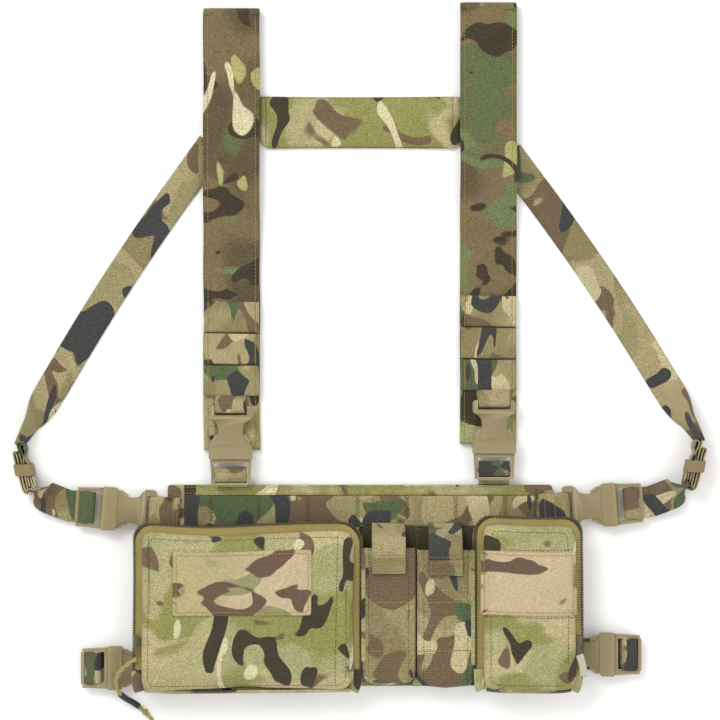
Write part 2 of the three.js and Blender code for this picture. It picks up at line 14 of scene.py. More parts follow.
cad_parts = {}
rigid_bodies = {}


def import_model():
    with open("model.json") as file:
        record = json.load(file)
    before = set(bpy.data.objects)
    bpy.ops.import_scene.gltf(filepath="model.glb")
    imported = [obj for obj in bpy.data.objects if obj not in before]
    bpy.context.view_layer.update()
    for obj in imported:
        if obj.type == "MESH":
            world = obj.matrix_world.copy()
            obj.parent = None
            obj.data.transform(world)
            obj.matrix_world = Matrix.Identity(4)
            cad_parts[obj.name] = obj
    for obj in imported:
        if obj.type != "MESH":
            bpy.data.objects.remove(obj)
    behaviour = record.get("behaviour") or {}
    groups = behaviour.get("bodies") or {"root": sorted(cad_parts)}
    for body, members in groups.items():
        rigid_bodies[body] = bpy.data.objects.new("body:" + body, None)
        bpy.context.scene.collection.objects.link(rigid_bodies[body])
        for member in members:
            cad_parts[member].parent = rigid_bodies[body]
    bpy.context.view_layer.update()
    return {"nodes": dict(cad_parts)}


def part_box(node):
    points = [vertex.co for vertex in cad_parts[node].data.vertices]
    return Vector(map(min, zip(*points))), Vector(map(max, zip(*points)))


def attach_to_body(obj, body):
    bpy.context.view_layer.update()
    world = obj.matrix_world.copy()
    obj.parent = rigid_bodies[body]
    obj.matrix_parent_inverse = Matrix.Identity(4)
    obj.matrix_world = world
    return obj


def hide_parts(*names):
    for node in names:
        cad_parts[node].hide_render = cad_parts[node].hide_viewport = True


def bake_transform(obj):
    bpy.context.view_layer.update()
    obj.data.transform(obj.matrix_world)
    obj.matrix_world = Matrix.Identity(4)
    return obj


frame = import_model()

MM = 0.001
WEB = 25 * MM          # webbing width
WEB_T = 1.6 * MM       # webbing thickness
UP = Vector((0, 0, 1))
SIDES = (("left", -1), ("right", 1))
CAMERA_HEIGHT = 2.6    # camera above the floor, m
SENSOR = 36            # camera sensor, mm
VIEW_WIDTH = 0.576     # width seen at FOCUS_HEIGHT, m
VIEW_CENTRE_Y = 0.181  # point the camera looks down on, m
FOCUS_HEIGHT = 0.015   # mean height of the rig's face, m
FLOOR_Z = -0.0006      # floor, just under the rig, m
FLOOR_HALF = 6         # half the floor's side, m
RAY_TOP = 0.5          # height that probing rays start from, m


def span(node):
    """A CAD node's box as x0, x1, y0, y1, z0, z1."""
    low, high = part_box(node)
    return low[0], high[0], low[1], high[1], low[2], high[2]


# ---- Camera -------------------------------------------------------------------------------
def add_camera():
    """A long lens straight above the rig, as flat-lay product shots are taken."""
    data = bpy.data.cameras.new("camera")
    data.sensor_width = SENSOR
    data.lens = SENSOR * (CAMERA_HEIGHT - FOCUS_HEIGHT) / VIEW_WIDTH
    camera = bpy.data.objects.new("camera", data)
    camera.location = (0, VIEW_CENTRE_Y, CAMERA_HEIGHT)
    bpy.context.scene.collection.objects.link(camera)
    bpy.context.scene.camera = camera


add_camera()


# ---- Materials ----------------------------------------------------------------------------
def srgb(r, g, b):
    """A display colour from 0 to 255 as a linear one."""
    def linear(c):
        c /= 255
        return c / 12.92 if c <= 0.04045 else ((c + 0.055) / 1.055) ** 2.4
    return (linear(r), linear(g), linear(b), 1)


CREAM = srgb(214, 205, 164)
TAN = srgb(190, 176, 132)
KHAKI = srgb(166, 164, 116)
OLIVE = srgb(146, 145, 84)
GREEN = srgb(88, 102, 68)
BROWN = srgb(116, 98, 74)
DARK = srgb(66, 60, 45)


HERRINGBONE_SWING = 1.3   # radians of phase that a rib swings to either side
RIB_PITCH = 1.5 * MM      # webbing ribs along the strip
ZIGZAG_PITCH = 1.9 * MM   # and their zigzag across it


class Shader:
    """A material under construction: small helpers round its node tree."""

    def __init__(self, name, roughness, sheen=0.0, metallic=0.0):
        self.material = bpy.data.materials.new(name)
        self.material.use_nodes = True
        self.tree = self.material.node_tree
        self.bsdf = self.tree.nodes["Principled BSDF"]
        self.bsdf.inputs["Roughness"].default_value = roughness
        self.bsdf.inputs["Metallic"].default_value = metallic
        self.bsdf.inputs["Sheen Weight"].default_value = sheen
        self.bsdf.inputs["Specular IOR Level"].default_value = 0.25 if sheen else 0.45
        self.object_space = self.node("ShaderNodeTexCoord").outputs["Object"]
        self.uv_space = self.node("ShaderNodeTexCoord").outputs["UV"]
        printed = self.node("ShaderNodeAttribute", attribute_name="print")
        self.print_space = printed.outputs["Vector"]

    def node(self, kind, inputs=(), **settings):
        """A new node: inputs are values or sockets, settings are its properties."""
        made = self.tree.nodes.new(kind)
        for key, value in settings.items():
            setattr(made, key, value)
        for key, value in dict(inputs).items():
            if isinstance(value, bpy.types.NodeSocket):
                self.tree.links.new(value, made.inputs[key])
            else:
                made.inputs[key].default_value = value
        return made

    def math(self, operation, a, b=0.0):
        return self.node("ShaderNodeMath", {0: a, 1: b}, operation=operation).outputs[0]

    def place(self, source, scale=(1, 1, 1), offset=(0, 0, 0), turn=0.0):
        return self.node("ShaderNodeMapping", {
            "Vector": source, "Scale": scale, "Location": offset, "Rotation": (0, 0, turn),
        }).outputs["Vector"]

    def noise(self, source, scale, detail=1.0, rough=0.45, twist=0.0):
        return self.node("ShaderNodeTexNoise", {
            "Vector": source, "Scale": scale, "Detail": detail, "Roughness": rough,
            "Distortion": twist,
        }).outputs["Fac"]

    def mask(self, value, level, soft):
        return self.node("ShaderNodeMapRange", {
            "Value": value, "From Min": level - soft, "From Max": level + soft,
        }, interpolation_type="SMOOTHSTEP").outputs["Result"]

    def mix(self, factor, a, b, blend="MIX"):
        made = self.node("ShaderNodeMix", data_type="RGBA", blend_type=blend)
        for index, value in ((0, factor), (6, a), (7, b)):
            if isinstance(value, bpy.types.NodeSocket):
                self.tree.links.new(value, made.inputs[index])
            else:
                made.inputs[index].default_value = value
        return made.outputs[2]

    def multiply_add(self, a, b, c):
        return self.node("ShaderNodeMath", {0: a, 1: b, 2: c},
                         operation="MULTIPLY_ADD").outputs[0]

    def ridges(self, turn):
        """The sine of an angle, raised to run from 0 to 1."""
        return self.multiply_add(self.math("SINE", turn), 0.5, 0.5)

    def waves(self, source, pitch, axis):
        """Soft ridges across one axis, 0 to 1, one every pitch metres."""
        part = self.node("ShaderNodeSeparateXYZ", {0: source}).outputs[axis]
        return self.ridges(self.math("MULTIPLY", part, 2 * math.pi / pitch))

    def herringbone(self, along, across):
        """Zigzag ribs, 0 to 1: ridges across the strip that swing to and fro over its width."""
        parts = self.node("ShaderNodeSeparateXYZ", {0: self.uv_space}).outputs
        swing = self.math("SINE", self.math("MULTIPLY", parts[1], 2 * math.pi / across))
        turn = self.math("MULTIPLY", parts[0], 2 * math.pi / along)
        return self.ridges(self.multiply_add(swing, HERRINGBONE_SWING, turn))

    def shade(self, colour, factor, low=0.7, high=1.1):
        """Darkens and lightens a colour by a 0 to 1 factor."""
        level = self.node("ShaderNodeMapRange", {
            "Value": factor, "To Min": low, "To Max": high}).outputs["Result"]
        grey = self.node("ShaderNodeCombineColor", {0: level, 1: level, 2: level}).outputs[0]
        return self.mix(1.0, colour, grey, "MULTIPLY")

    def finish(self, colour, height=None, depth=0.0003, strength=0.6):
        self.tree.links.new(colour, self.bsdf.inputs["Base Color"])
        if height is not None:
            bump = self.node("ShaderNodeBump", {
                "Height": height, "Distance": depth, "Strength": strength})
            self.tree.links.new(bump.outputs["Normal"], self.bsdf.inputs["Normal"])
        return self.material


def camo(shader, base, layers, seed):
    """Blotches of printed colour: each layer is colour, scale, stretch, turn, level, softness."""
    colour = base
    for index, (paint, scale, stretch, turn, level, soft) in enumerate(layers):
        at = shader.place(shader.print_space, (1, stretch, 1),
                          (seed + 0.73 * index, 0.31 * index - seed, 0.17 * index), turn)
        field = shader.noise(at, scale, 1.2, 0.35, 0.9)
        colour = shader.mix(shader.mask(field, level, soft), colour, paint)
    return colour


LIGHT_PRINT = (
    (KHAKI, 11, 0.8, 0.3, 0.46, 0.08),
    (OLIVE, 18, 0.8, -0.4, 0.54, 0.04),
    (TAN, 17, 1.3, 0.9, 0.61, 0.03),
    (BROWN, 23, 1.5, 0.5, 0.65, 0.015),
    (CREAM, 32, 0.45, 0.25, 0.675, 0.005),
    (DARK, 30, 0.66, -0.5, 0.605, 0.005),
)
DARK_PRINT = (
    (srgb(124, 108, 76), 13, 0.9, 0.2, 0.52, 0.07),
    (srgb(98, 108, 68), 15, 1.35, 0.4, 0.60, 0.02),
    (srgb(112, 126, 82), 16, 1.3, 0.4, 0.635, 0.02),
    (srgb(172, 170, 110), 31, 0.5, 0.6, 0.685, 0.008),
    (srgb(66, 57, 42), 29, 1.25, -0.3, 0.615, 0.014),
    (CREAM, 29, 0.42, 0.7, 0.715, 0.006),
)
WEB_PRINT = (
    (srgb(156, 148, 104), 16, 1.0, 0.4, 0.5, 0.05),
    (srgb(172, 158, 116), 22, 0.7, -0.3, 0.56, 0.012),
    (BROWN, 26, 0.8, 0.8, 0.575, 0.006),
    (GREEN, 22, 0.7, 0.2, 0.62, 0.008),
    (srgb(198, 186, 144), 30, 0.6, 0.9, 0.63, 0.004),
    (srgb(66, 66, 64), 31, 0.6, -0.7, 0.61, 0.004),
)


def fabric_material(name, base, layers, seed):
    """Printed woven nylon with a fine heathered grain."""
    shader = Shader(name, 0.92, sheen=0.12)
    colour = camo(shader, base, layers, seed)
    fine = shader.noise(shader.print_space, 900, 2.0, 0.6)
    coarse = shader.noise(shader.place(shader.print_space, (1, 2.2, 1)), 420, 2.0, 0.7)
    worn = shader.noise(shader.print_space, 36, 3.0, 0.6)
    fleck = shader.mask(fine, 0.5, 0.16)
    colour = shader.shade(colour, fleck, 0.76, 1.16)
    colour = shader.shade(colour, shader.mask(coarse, 0.5, 0.2), 0.80, 1.14)
    colour = shader.shade(colour, worn, 0.84, 1.08)
    weave = shader.math("MULTIPLY",
                        shader.waves(shader.print_space, 0.9 * MM, 0),
                        shader.waves(shader.print_space, 0.9 * MM, 1))
    height = shader.math("ADD", shader.math("MULTIPLY", coarse, 1.4), weave)
    return shader.finish(colour, height, 0.00035, 0.7)


def webbing_material(name, base, layers, seed):
    """Printed webbing: rows of small zigzag ribs in the strip's own length and width."""
    shader = Shader(name, 0.88, sheen=0.1)
    colour = camo(shader, base, layers, seed)
    knots = shader.herringbone(RIB_PITCH, ZIGZAG_PITCH)
    grain = shader.noise(shader.print_space, 750, 2.0, 0.6)
    colour = shader.shade(colour, knots, 0.66, 1.26)
    colour = shader.shade(colour, shader.mask(grain, 0.5, 0.16), 0.74, 1.18)
    colour = shader.shade(colour, shader.noise(shader.print_space, 45, 2.0), 0.9, 1.1)
    height = shader.math("ADD", knots, shader.math("MULTIPLY", grain, 0.5))
    return shader.finish(colour, height, 0.0005, 0.8)


def loop_material():
    """Fuzzy loop fabric in a printed tan."""
    shader = Shader("loop_fabric", 1.0, sheen=0.3)
    colour = camo(shader, srgb(194, 174, 140), (
        (srgb(178, 166, 122), 10, 1.0, 0.2, 0.55, 0.06),
        (srgb(146, 142, 102), 19, 1.3, 0.3, 0.63, 0.008),
        (srgb(104, 84, 68), 23, 1.7, 0.15, 0.60, 0.010),
    ), 4.1)
    fuzz = shader.noise(shader.print_space, 620, 3.0, 0.75)
    nap = shader.noise(shader.print_space, 1100, 2.0, 0.6)
    colour = shader.shade(colour, shader.mask(fuzz, 0.5, 0.2), 0.80, 1.14)
    colour = shader.shade(colour, shader.mask(nap, 0.5, 0.2), 0.86, 1.08)
    return shader.finish(colour, fuzz, 0.0009, 0.9)


def plastic_material():
    """Moulded coyote plastic with a fine spark-eroded texture and paler rubbed edges."""
    shader = Shader("buckle_plastic", 0.5)
    base = shader.mix(shader.noise(shader.object_space, 60, 3.0),
                      srgb(126, 112, 76), srgb(142, 128, 90))
    edge = shader.node("ShaderNodeNewGeometry").outputs["Pointiness"]
    rubbed = shader.mask(edge, 0.56, 0.05)
    colour = shader.mix(shader.math("MULTIPLY", rubbed, 0.45), base, srgb(186, 172, 134))
    grain = shader.noise(shader.object_space, 1700, 2.0, 0.7)
    scuffs = shader.noise(shader.place(shader.object_space, (1, 6, 1), turn=0.6), 120, 4.0, 0.7)
    colour = shader.shade(colour, scuffs, 0.93, 1.05)
    rough = shader.node("ShaderNodeMapRange", {
        "Value": scuffs, "To Min": 0.42, "To Max": 0.62}).outputs["Result"]
    shader.tree.links.new(rough, shader.bsdf.inputs["Roughness"])
    return shader.finish(colour, grain, 0.0001, 0.35)


def plain_material(name, dark, light, scale, roughness, sheen=0.0, metallic=0.0):
    """A dyed or painted finish that varies between two close colours with a fine grain."""
    shader = Shader(name, roughness, sheen, metallic)
    colour = shader.mix(shader.noise(shader.object_space, scale, 3.0, 0.6), dark, light)
    grain = shader.noise(shader.object_space, scale * 9, 2.0, 0.6)
    colour = shader.shade(colour, grain, 0.8, 1.18)
    return shader.finish(colour, grain, 0.0002, 0.6)


def tape_material():
    """Zip tape: twill with fine ribs along its length."""
    shader = Shader("zip_tape", 0.85, sheen=0.15)
    colour = shader.mix(shader.noise(shader.object_space, 50, 3.0),
                        srgb(146, 130, 76), srgb(172, 154, 96))
    twill = shader.waves(shader.uv_space, 1.1 * MM, 0)
    ribs = shader.waves(shader.uv_space, 1.3 * MM, 1)
    colour = shader.shade(colour, shader.math("MULTIPLY", twill, ribs), 0.84, 1.12)
    colour = shader.shade(colour, shader.noise(shader.object_space, 800, 2.0), 0.8, 1.2)
    return shader.finish(colour, twill, 0.0003, 0.6)


FABRIC = fabric_material("camo_fabric", srgb(176, 168, 122), LIGHT_PRINT, 1.3)
FABRIC_DARK = fabric_material("strap_fabric", srgb(96, 84, 60), DARK_PRINT, 2.6)
# A dark finish for the pouches' insides; the same finish is painted shade on the back panel above
# each magazine pouch's mouth.
LINING_AND_SHADE = plain_material("lining", srgb(52, 48, 34), srgb(78, 72, 50), 90, 0.95, 0.05)
WEBBING = webbing_material("camo_webbing", srgb(142, 130, 90), WEB_PRINT, 5.2)
LOOP = loop_material()
PLASTIC = plastic_material()
TAPE = tape_material()
COIL = plain_material("zip_coil", srgb(44, 40, 26), srgb(84, 76, 48), 300, 0.55)
METAL = plain_material("zip_metal", srgb(92, 84, 66), srgb(122, 112, 90), 200, 0.42, 0, 0.5)
THREAD = plain_material("thread", srgb(104, 84, 34), srgb(196, 168, 84), 420, 0.7, 0.1)
THREAD_DARK = plain_material("thread_dark", srgb(52, 44, 24), srgb(104, 88, 42), 500, 0.7, 0.1)
CORD = plain_material("pull_cord", srgb(136, 126, 72), srgb(176, 166, 108), 700, 0.75, 0.1)
SLEEVE = plain_material("cord_sleeve", srgb(26, 26, 25), srgb(40, 40, 38), 300, 0.45)
TAB = plain_material("pull_tab", srgb(164, 162, 144), srgb(192, 190, 174), 300, 0.6, 0.1)
ELASTIC = plain_material("keeper_elastic", srgb(116, 100, 70), srgb(150, 132, 96), 400, 0.85, 0.1)


# ---- Mesh helpers -------------------------------------------------------------------------
def mesh_object(name, points, faces, material, uvs=None):
    """A new smooth mesh object; uvs are one (u, v) for each corner, in metres."""
    mesh = bpy.data.meshes.new(name)
    mesh.from_pydata([tuple(p) for p in points], [], faces)
    if uvs is not None:
        layer = mesh.uv_layers.new(name="UVMap")
        layer.data.foreach_set("uv", np.array(uvs, float).ravel())
    mesh.validate()
    mesh.update()
    mesh.polygons.foreach_set("use_smooth", [True] * len(mesh.polygons))
    obj = bpy.data.objects.new(name, mesh)
    bpy.context.scene.collection.objects.link(obj)
    obj.data.materials.append(material)
    return obj


def select_only(obj):
    bpy.ops.object.select_all(action="DESELECT")
    obj.select_set(True)
    bpy.context.view_layer.objects.active = obj


def apply_all(obj):
    """Turns the object's modifiers into mesh."""
    select_only(obj)
    bpy.ops.object.convert(target="MESH")
    return obj


def resample(points, step):
    """Points along a smooth curve through the given ones, about step apart."""
    dense = []
    count = len(points)
    for i in range(count - 1):
        p0 = points[max(i - 1, 0)]
        p1, p2 = points[i], points[i + 1]
        p3 = points[min(i + 2, count - 1)]
        for k in range(12):
            t = k / 12
            dense.append(0.5 * (
                2 * p1 + (p2 - p0) * t + (2 * p0 - 5 * p1 + 4 * p2 - p3) * t * t
                + (3 * p1 - p0 - 3 * p2 + p3) * t ** 3))
    dense.append(points[-1].copy())
    return even(dense, step)


def even(points, step):
    """The same polyline with points spaced evenly."""
    lengths = [0.0]
    for a, b in zip(points, points[1:]):
        lengths.append(lengths[-1] + (b - a).length)
    count = max(2, round(lengths[-1] / step) + 1)
    made, j = [], 0
    for i in range(count):
        at = lengths[-1] * i / (count - 1)
        while j < len(points) - 2 and lengths[j + 1] < at:
            j += 1
        gap = lengths[j + 1] - lengths[j]
        t = (at - lengths[j]) / gap if gap > 1e-12 else 0
        made.append(points[j].lerp(points[j + 1], min(max(t, 0), 1)))
    return made


def tangents(points):
    made = []
    for i in range(len(points)):
        a, b = points[max(i - 1, 0)], points[min(i + 1, len(points) - 1)]
        made.append((b - a).normalized())
    return made


def flat_section(width, thickness, columns=10):
    """A webbing strip's cross-section: (across, lift) pairs round a closed loop."""
    half, t = width / 2, thickness / 2
    top = [(-half + width * i / columns, t) for i in range(columns + 1)]
    top[0], top[-1] = (-half + 0.3 * MM, t * 0.75), (half - 0.3 * MM, t * 0.75)
    rim = [(half, 0)]
    bottom = [(x, -z) for x, z in reversed(top)]
    return top + rim + bottom + [(-half, 0)]


def padded_section(width, thickness):
    """A quilted strap's cross-section: thin sewn edges and a full middle."""
    half = width / 2
    lip = 3.2 * MM
    edge = 1.6 * MM
    columns = 16
    section = []
    for i in range(columns + 1):
        x = -half + width * i / columns
        inside = min(1.0, max(0.0, (half - abs(x) - lip) / (half * 0.55)))
        full = math.sin(inside * math.pi / 2) ** 0.8
        section.append((x, edge / 2 + (thickness - edge) * 0.5 * full))
    section += [(half + 0.2 * MM, 0)]
    section += [(x, -z) for x, z in reversed(section[:-1])]
    return section + [(-half - 0.2 * MM, 0)]


def sweep(name, path, section, material, across=None, ripple=0.0, seed=0.0):
    """A closed strip or tube: the section carried along the path.

    across gives the width direction for each point of the path, and defaults to level.
    UVs run along the length and round the section, in metres.
    """
    ways = tangents(path)
    count, ring = len(path), len(section)
    points = []
    for i, (p, way) in enumerate(zip(path, ways)):
        side = across[i] if across else UP.cross(way)
        side = (side - way * side.dot(way)).normalized()
        lift = way.cross(side).normalized()
        if lift.z < 0 and not across:
            lift = -lift
        for x, z in section:
            wave = 0.0
            if ripple:
                at = p + side * x
                wave = ripple * noise.noise(Vector((at.x, at.y, seed)) * 38)
            points.append(p + side * x + lift * (z + wave))
    along = [0.0]
    for a, b in zip(path, path[1:]):
        along.append(along[-1] + (b - a).length)
    around = [0.0]
    for a, b in zip(section, section[1:] + section[:1]):
        around.append(around[-1] + math.hypot(b[0] - a[0], b[1] - a[1]))
    faces, uvs = [], []
    for i in range(count - 1):
        for j in range(ring):
            k = (j + 1) % ring
            faces.append((i * ring + j, i * ring + k, (i + 1) * ring + k, (i + 1) * ring + j))
            uvs += [(along[i], around[j]), (along[i], around[j + 1]),
                    (along[i + 1], around[j + 1]), (along[i + 1], around[j])]
    for end, order in ((0, range(ring)), (count - 1, reversed(range(ring)))):
        face = [end * ring + j for j in order]
        faces.append(face)
        uvs += [(along[end] + points[f].z, around[f - end * ring]) for f in face]
    obj = mesh_object(name, points, faces, material, uvs)
    fix_normals(obj)
    return obj


def fix_normals(obj):
    bm = bmesh.new()
    bm.from_mesh(obj.data)
    bmesh.ops.recalc_face_normals(bm, faces=bm.faces)
    bm.to_mesh(obj.data)
    bm.free()


def strip(name, points, material=None, width=WEB, thickness=WEB_T, across=None, ripple=0.0,
          step=2.5 * MM, seed=0.0):
    """Webbing along a smooth curve. across is one direction, or one for each given point."""
    path = resample([Vector(p) for p in points], step)
    ways = None
    if across is not None:
        if isinstance(across[0], (int, float)):
            ways = [Vector(across)] * len(path)
        else:
            given = [Vector(a).normalized() for a in across]
            ways = []
            for i in range(len(path)):
                at = i / (len(path) - 1) * (len(given) - 1)
                j = min(int(at), len(given) - 2)
                ways.append(given[j].lerp(given[j + 1], at - j))
    return sweep(name, path, flat_section(width, thickness), material or WEBBING, ways, ripple,
                 seed)


def round_section(radius, sides=10):
    turns = [2 * math.pi * i / sides for i in range(sides)]
    return [(radius * math.cos(turn), radius * math.sin(turn)) for turn in turns]


def tree_of(*objects):
    """A ray-casting tree over several meshes' surfaces."""
    points, faces = [], []
    for obj in objects:
        first = len(points)
        points += [obj.matrix_world @ v.co for v in obj.data.vertices]
        faces += [[first + i for i in p.vertices] for p in obj.data.polygons]
    return BVHTree.FromPolygons(points, faces)


def drop(tree, x, y, fallback):
    """Height of the surface under a point seen from above."""
    hit = tree.ray_cast(Vector((x, y, RAY_TOP)), -UP)[0]
    return hit.z if hit else fallback


def join_objects(name, objects):
    select_only(objects[0])
    for obj in objects:
        obj.select_set(True)
    bpy.ops.object.join()
    objects[0].name = name
    return objects[0]


def stitches(name, lines, tree, material=None, pitch=3.0 * MM, length=2.2 * MM, radius=0.42 * MM,
             fallback=0.0, zigzag=0.0, lift=0.25 * MM):
    """Rows of thread laid on a surface: lines are lists of (x, y), sewn end to end."""
    points, faces = [], []
    sides = 5
    for line in lines:
        path = even([Vector((x, y, 0)) for x, y in line], pitch)
        ways = tangents(path)
        for i, (p, way) in enumerate(zip(path, ways)):
            out = way.cross(UP)
            shift = out * (zigzag if i % 2 else -zigzag)
            lean = (way + out * (0.9 if i % 2 else -0.9) * (zigzag > 0)).normalized()
            ends = [p + shift - lean * length / 2, p + shift, p + shift + lean * length / 2]
            heights = [drop(tree, e.x, e.y, fallback) for e in ends]
            first = len(points)
            for e, z, r, up in zip(ends, heights, (0.55, 1.0, 0.55), (-0.1, 1.0, -0.1)):
                centre = Vector((e.x, e.y, z + lift * up))
                across = lean.cross(UP)
                for k in range(sides):
                    a = 2 * math.pi * k / sides
                    points.append(centre + (across * math.cos(a) + UP * math.sin(a)) * radius * r)
            for ring in range(2):
                for k in range(sides):
                    n = (k + 1) % sides
                    a = first + ring * sides
                    faces.append((a + k, a + n, a + sides + n, a + sides + k))
            faces.append(tuple(first + k for k in reversed(range(sides))))
            faces.append(tuple(first + 2 * sides + k for k in range(sides)))
    obj = mesh_object(name, points, faces, material or THREAD)
    fix_normals(obj)
    return obj


def loft(name, rings, material):
    """A closed body through rings of equal point counts, first and last ring capped."""
    count = len(rings[0])
    points = [p for ring in rings for p in ring]
    faces = []
    for i in range(len(rings) - 1):
        for j in range(count):
            k = (j + 1) % count
            faces.append((i * count + j, i * count + k, (i + 1) * count + k, (i + 1) * count + j))
    faces.append(tuple(range(count)))
    faces.append(tuple(reversed(range((len(rings) - 1) * count, len(rings) * count))))
    obj = mesh_object(name, points, faces, material)
    fix_normals(obj)
    return obj


def rounded_loop(x0, x1, y0, y1, corners, z=0.0, arc=7, edge=14):
    """Points round a rectangle with its own radius at each corner, from the lower left.

    corners are the radii at lower left, lower right, upper right and upper left.
    """
    bl, br, tr, tl = corners
    centres = [(x0 + bl, y0 + bl, bl, math.pi), (x1 - br, y0 + br, br, 1.5 * math.pi),
               (x1 - tr, y1 - tr, tr, 0.0), (x0 + tl, y1 - tl, tl, 0.5 * math.pi)]
    corners_points = []
    for cx, cy, r, start in centres:
        corners_points.append([
            Vector((cx + r * math.cos(start + a), cy + r * math.sin(start + a), z))
            for a in (math.pi / 2 * i / arc for i in range(arc + 1))])
    loop = []
    for i, corner in enumerate(corners_points):
        loop += corner
        nxt = corners_points[(i + 1) % 4][0]
        loop += [corner[-1].lerp(nxt, k / edge) for k in range(1, edge)]
    return loop


def puff(obj, pressure=4.0, voxel=4 * MM, cap=6 * MM, frames=20, floor=None, draw_in=1.0):
    """Swells a closed soft piece with cloth pressure, then smooths and keeps the result.

    draw_in is the share of the sideways movement that is kept.
    """
    remesh = obj.modifiers.new("remesh", "REMESH")
    remesh.mode = "VOXEL"
    remesh.voxel_size = voxel
    apply_all(obj)
    before = np.array([v.co for v in obj.data.vertices])
    cloth = obj.modifiers.new("cloth", "CLOTH")
    cloth.settings.quality = 6
    cloth.settings.mass = 0.25
    cloth.settings.tension_stiffness = 30
    cloth.settings.compression_stiffness = 30
    cloth.settings.bending_stiffness = 1.5
    cloth.settings.use_pressure = True
    cloth.settings.uniform_pressure_force = pressure
    cloth.settings.effector_weights.gravity = 0
    cloth.point_cache.frame_start = 1
    cloth.point_cache.frame_end = frames
    scene = bpy.context.scene
    for number in range(1, frames + 1):
        scene.frame_set(number)
    apply_all(obj)
    scene.frame_set(1)
    after = np.array([v.co for v in obj.data.vertices])
    move = (after - before) * np.array([draw_in, draw_in, 1.0])
    far = np.linalg.norm(move, axis=1, keepdims=True)
    after = before + move * np.minimum(1, cap / np.maximum(far, 1e-9))
    if floor is not None:
        after[:, 2] = np.maximum(after[:, 2], floor)
    obj.data.vertices.foreach_set("co", after.ravel())
    smooth = obj.modifiers.new("smooth", "SMOOTH")
    smooth.iterations = 4
    smooth.factor = 0.5
    subdivide = obj.modifiers.new("subdivide", "SUBSURF")
    subdivide.levels = subdivide.render_levels = 1
    apply_all(obj)
    obj.data.polygons.foreach_set("use_smooth", [True] * len(obj.data.polygons))
    return obj


def sculpt(obj, move):
    """Moves each vertex by a function of its place."""
    for v in obj.data.vertices:
        v.co += move(v.co)
    obj.data.update()
    return obj


def crease(p, a, b, width, depth):
    """How far a groove along the line from a to b lowers the point p."""
    ax, ay = a
    bx, by = b
    dx, dy = bx - ax, by - ay
    t = min(1, max(0, ((p.x - ax) * dx + (p.y - ay) * dy) / (dx * dx + dy * dy)))
    away = math.hypot(p.x - ax - dx * t, p.y - ay - dy * t)
    return depth * math.exp(-(away / width) ** 2)


# ---- Pull cord ----------------------------------------------------------------------------
CORD_ROUTE = (
    (-177.5, -56.4, 34.4), (-181.5, -58.6, 33.4), (-186.2, -62.2, 30.0), (-190.6, -66.6, 25.2),
    (-193.8, -71.4, 20.6), (-195.0, -76.6, 17.8), (-194.0, -81.8, 16.8), (-191.4, -86.8, 13.6),
    (-187.4, -90.8, 8.0), (-182.4, -94.0, 3.6), (-177.8, -97.4, 2.2), (-173.6, -101.2, 2.0),
    (-170.2, -104.6, 2.0), (-167.4, -108.0, 2.0),
)


def at(x, y, z=0.0):
    """A point given in millimetres."""
    return Vector((x, y, z)) * MM


def cord_strands(name, route, radius, turns_per_metre, strands, material, thick):
    """Several strands twisted round the route, as one closed mesh."""
    path = resample(route, 1.2 * MM)
    ways = tangents(path)
    parts = []
    for s in range(strands):
        line = []
        for i, (p, way) in enumerate(zip(path, ways)):
            side = UP.cross(way).normalized()
            lift = way.cross(side)
            angle = 2 * math.pi * (s / strands + i * 1.2 * MM * turns_per_metre)
            line.append(p + (side * math.cos(angle) + lift * math.sin(angle)) * radius)
        parts.append(sweep(name, line, round_section(thick, 8), material))
    return join_objects(name, parts)


def build_cord():
    """The admin zip's pull: a doubled cord from the puller, a sleeve, a knot and frayed ends."""
    route = [at(*p) for p in CORD_ROUTE]
    cord = cord_strands("admin_pull_cord", route, 0.75 * MM, 60, 2, CORD, 1.12 * MM)
    path = resample(route, 1.5 * MM)
    sleeve_path = resample(route[7:11], 1.5 * MM)
    sleeve_path = [p + UP * 0.4 * MM for p in sleeve_path]
    sleeve = sweep("admin_pull_sleeve", sleeve_path, round_section(2.45 * MM, 14), SLEEVE)
    centre = route[11] + UP * 0.9 * MM
    knot_line = []
    for i in range(61):
        t = 2 * math.pi * i / 60
        knot_line.append(centre + at(2.0 * (math.sin(t) + 0.9 * math.sin(2 * t)) * 0.62,
                                     1.5 * (math.cos(t) - 0.9 * math.cos(2 * t)) * 0.75,
                                     1.1 * -math.sin(3 * t) + 0.3))
    knot = sweep("admin_pull_knot", knot_line, round_section(1.05 * MM, 8), CORD)
    frays = []
    for k in range(7):
        lean = (k - 3) * 0.55
        tip = at(lean, -0.4 - 0.5 * (k % 3), 0.2 * (k % 2) - 1.0)
        line = [route[-2] + at(lean * 0.4, 0, 0), route[-2] + at(1.3 + lean * 0.8, -1.4, 0.4),
                route[-1] + tip]
        frays.append(sweep("fray", line, round_section(0.32 * MM, 5), CORD))
    fray = join_objects("admin_pull_fray", frays)
    for piece in (cord, sleeve, knot, fray):
        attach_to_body(piece, "admin_zip")
    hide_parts("admin_pull_cord")


build_cord()


# ---- Soft bodies --------------------------------------------------------------------------
def scaled(loop, centre, factor, z):
    return [Vector((centre.x + (p.x - centre.x) * factor, centre.y + (p.y - centre.y) * factor, z))
            for p in loop]


